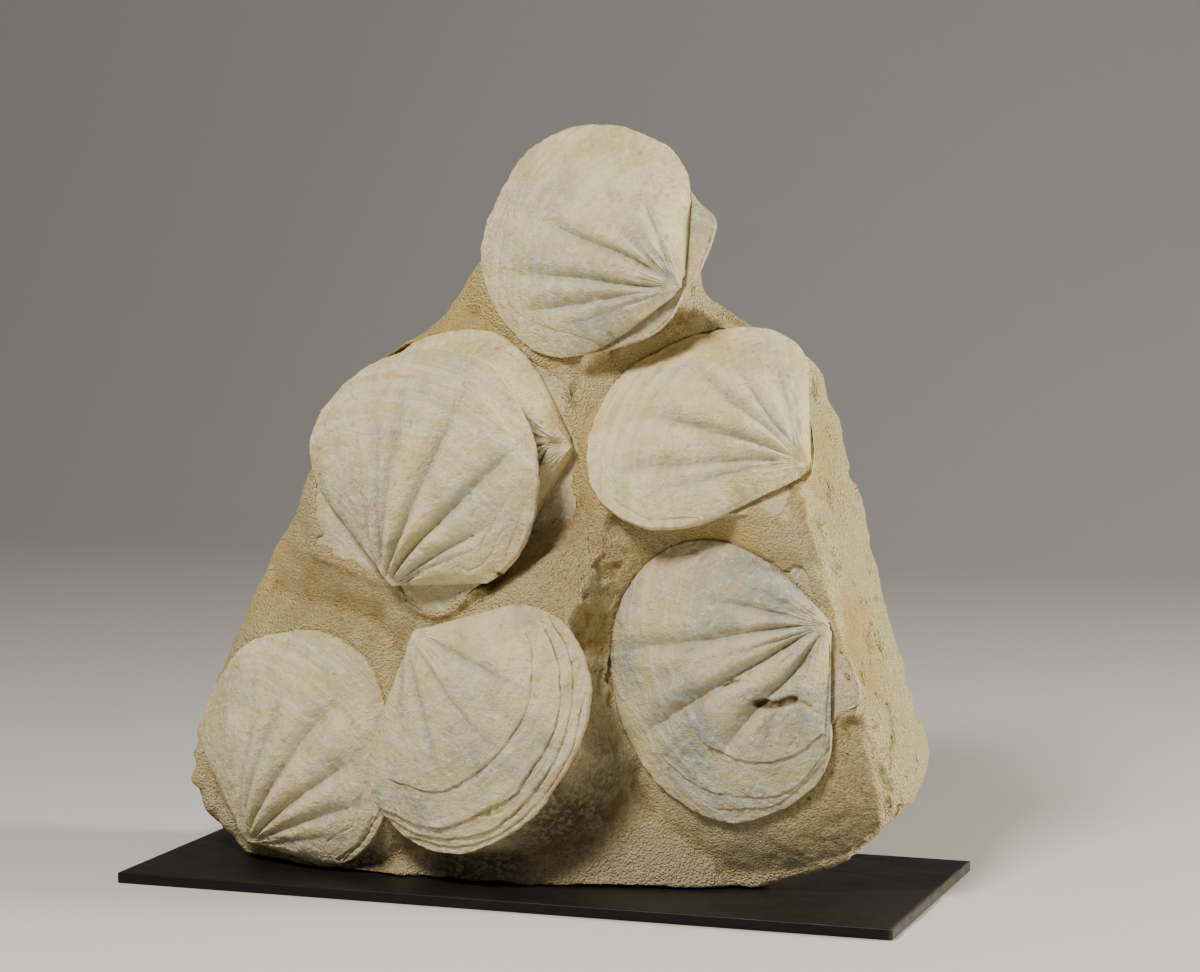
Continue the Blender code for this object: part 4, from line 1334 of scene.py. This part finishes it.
for name, piece in upper_valves.items():
    settle(piece, shell_cream, "shell_cream", name)
for name, piece in lower_valves.items():
    settle(piece, shell_grey, "shell_grey", name + "_lower_valve")
settle(stone, limestone, "sandstone", "matrix_block")
settle(black_plate, black_paint, "black_board", "base_plate")

# %% [markdown]
# ## Floor, light and camera
#
# A plain pale floor, a soft light high in front, a little to the left, and a second one from the
# right, which rakes over the furrows and brightens the broken side of the block.


# %% Floor
def flat_finish(name, colour, roughness):
    material, _, shader = new_finish(name, roughness, 0.3)
    shader.inputs["Base Color"].default_value = (*colour, 1)
    return material


def choose_low_back_edge(piece):
    """Select the edge along the back of the floor, whatever stands on it."""
    bpy.ops.object.mode_set(mode="OBJECT")
    corners = points_of(piece)
    for edge in piece.data.edges:
        ends = corners[list(edge.vertices)]
        edge.select = bool((ends[:, 1] > 1).all() and (ends[:, 2] < 0.1).all())
    bpy.ops.object.mode_set(mode="EDIT")


FLOOR_SIZE, WALL_HEIGHT, SWEEP = 9.0, 6.0, 2.4
bpy.ops.mesh.primitive_plane_add(size=FLOOR_SIZE, location=(0, 0, solid_low[2] - 0.0002))
floor = bpy.context.object
floor.name = "floor"
bpy.ops.object.transform_apply(location=True, rotation=True, scale=True)
edit(floor, "EDGE")
choose_low_back_edge(floor)
bpy.ops.mesh.extrude_region()
bpy.ops.transform.translate(value=(0, 0, WALL_HEIGHT))
choose_low_back_edge(floor)
bpy.ops.mesh.bevel(offset=SWEEP, segments=24, affect="EDGES")
bpy.ops.object.mode_set(mode="OBJECT")
bpy.ops.object.shade_smooth()
floor.data.materials.append(flat_finish("pale_floor", (0.62, 0.61, 0.59), 0.9))

# %% Lights
MIDDLE = Vector((0.0, 0.0, 0.28))


def soft_light(name, place, size, power, colour):
    bpy.ops.object.light_add(type="AREA", location=place)
    light = bpy.context.object
    light.name = name
    light.data.size = size
    light.data.energy = power
    light.data.color = colour
    light.rotation_euler = (MIDDLE - Vector(place)).to_track_quat("-Z", "Y").to_euler()
    return light


soft_light("key_front", (-0.25, -1.42, 1.66), 0.42, 54, (1.0, 0.965, 0.885))
soft_light("right_side", (2.32, 0.46, 0.78), 0.6, 92, (1.0, 0.95, 0.80))
world = bpy.data.worlds.new("studio")
world.use_nodes = True
world.node_tree.nodes["Background"].inputs[0].default_value = (0.93, 0.93, 0.93, 1)
world.node_tree.nodes["Background"].inputs[1].default_value = 0.115
bpy.context.scene.world = world

# %% Camera
AIM = Vector((0.0421, 0, 0.300))
AZIMUTH, ELEVATION, DISTANCE = math.radians(18.8), math.radians(5.1), 2.472
LENS = 99.0

bpy.ops.object.camera_add()
camera = bpy.context.object
camera.data.lens = LENS
camera.data.sensor_width = 36.0
camera.data.clip_end = 60
outward = Vector((math.sin(AZIMUTH) * math.cos(ELEVATION), -math.cos(AZIMUTH) * math.cos(ELEVATION),
                  math.sin(ELEVATION)))
camera.location = AIM + outward * DISTANCE
camera.rotation_euler = (-outward).to_track_quat("-Z", "Y").to_euler()
bpy.context.scene.camera = camera
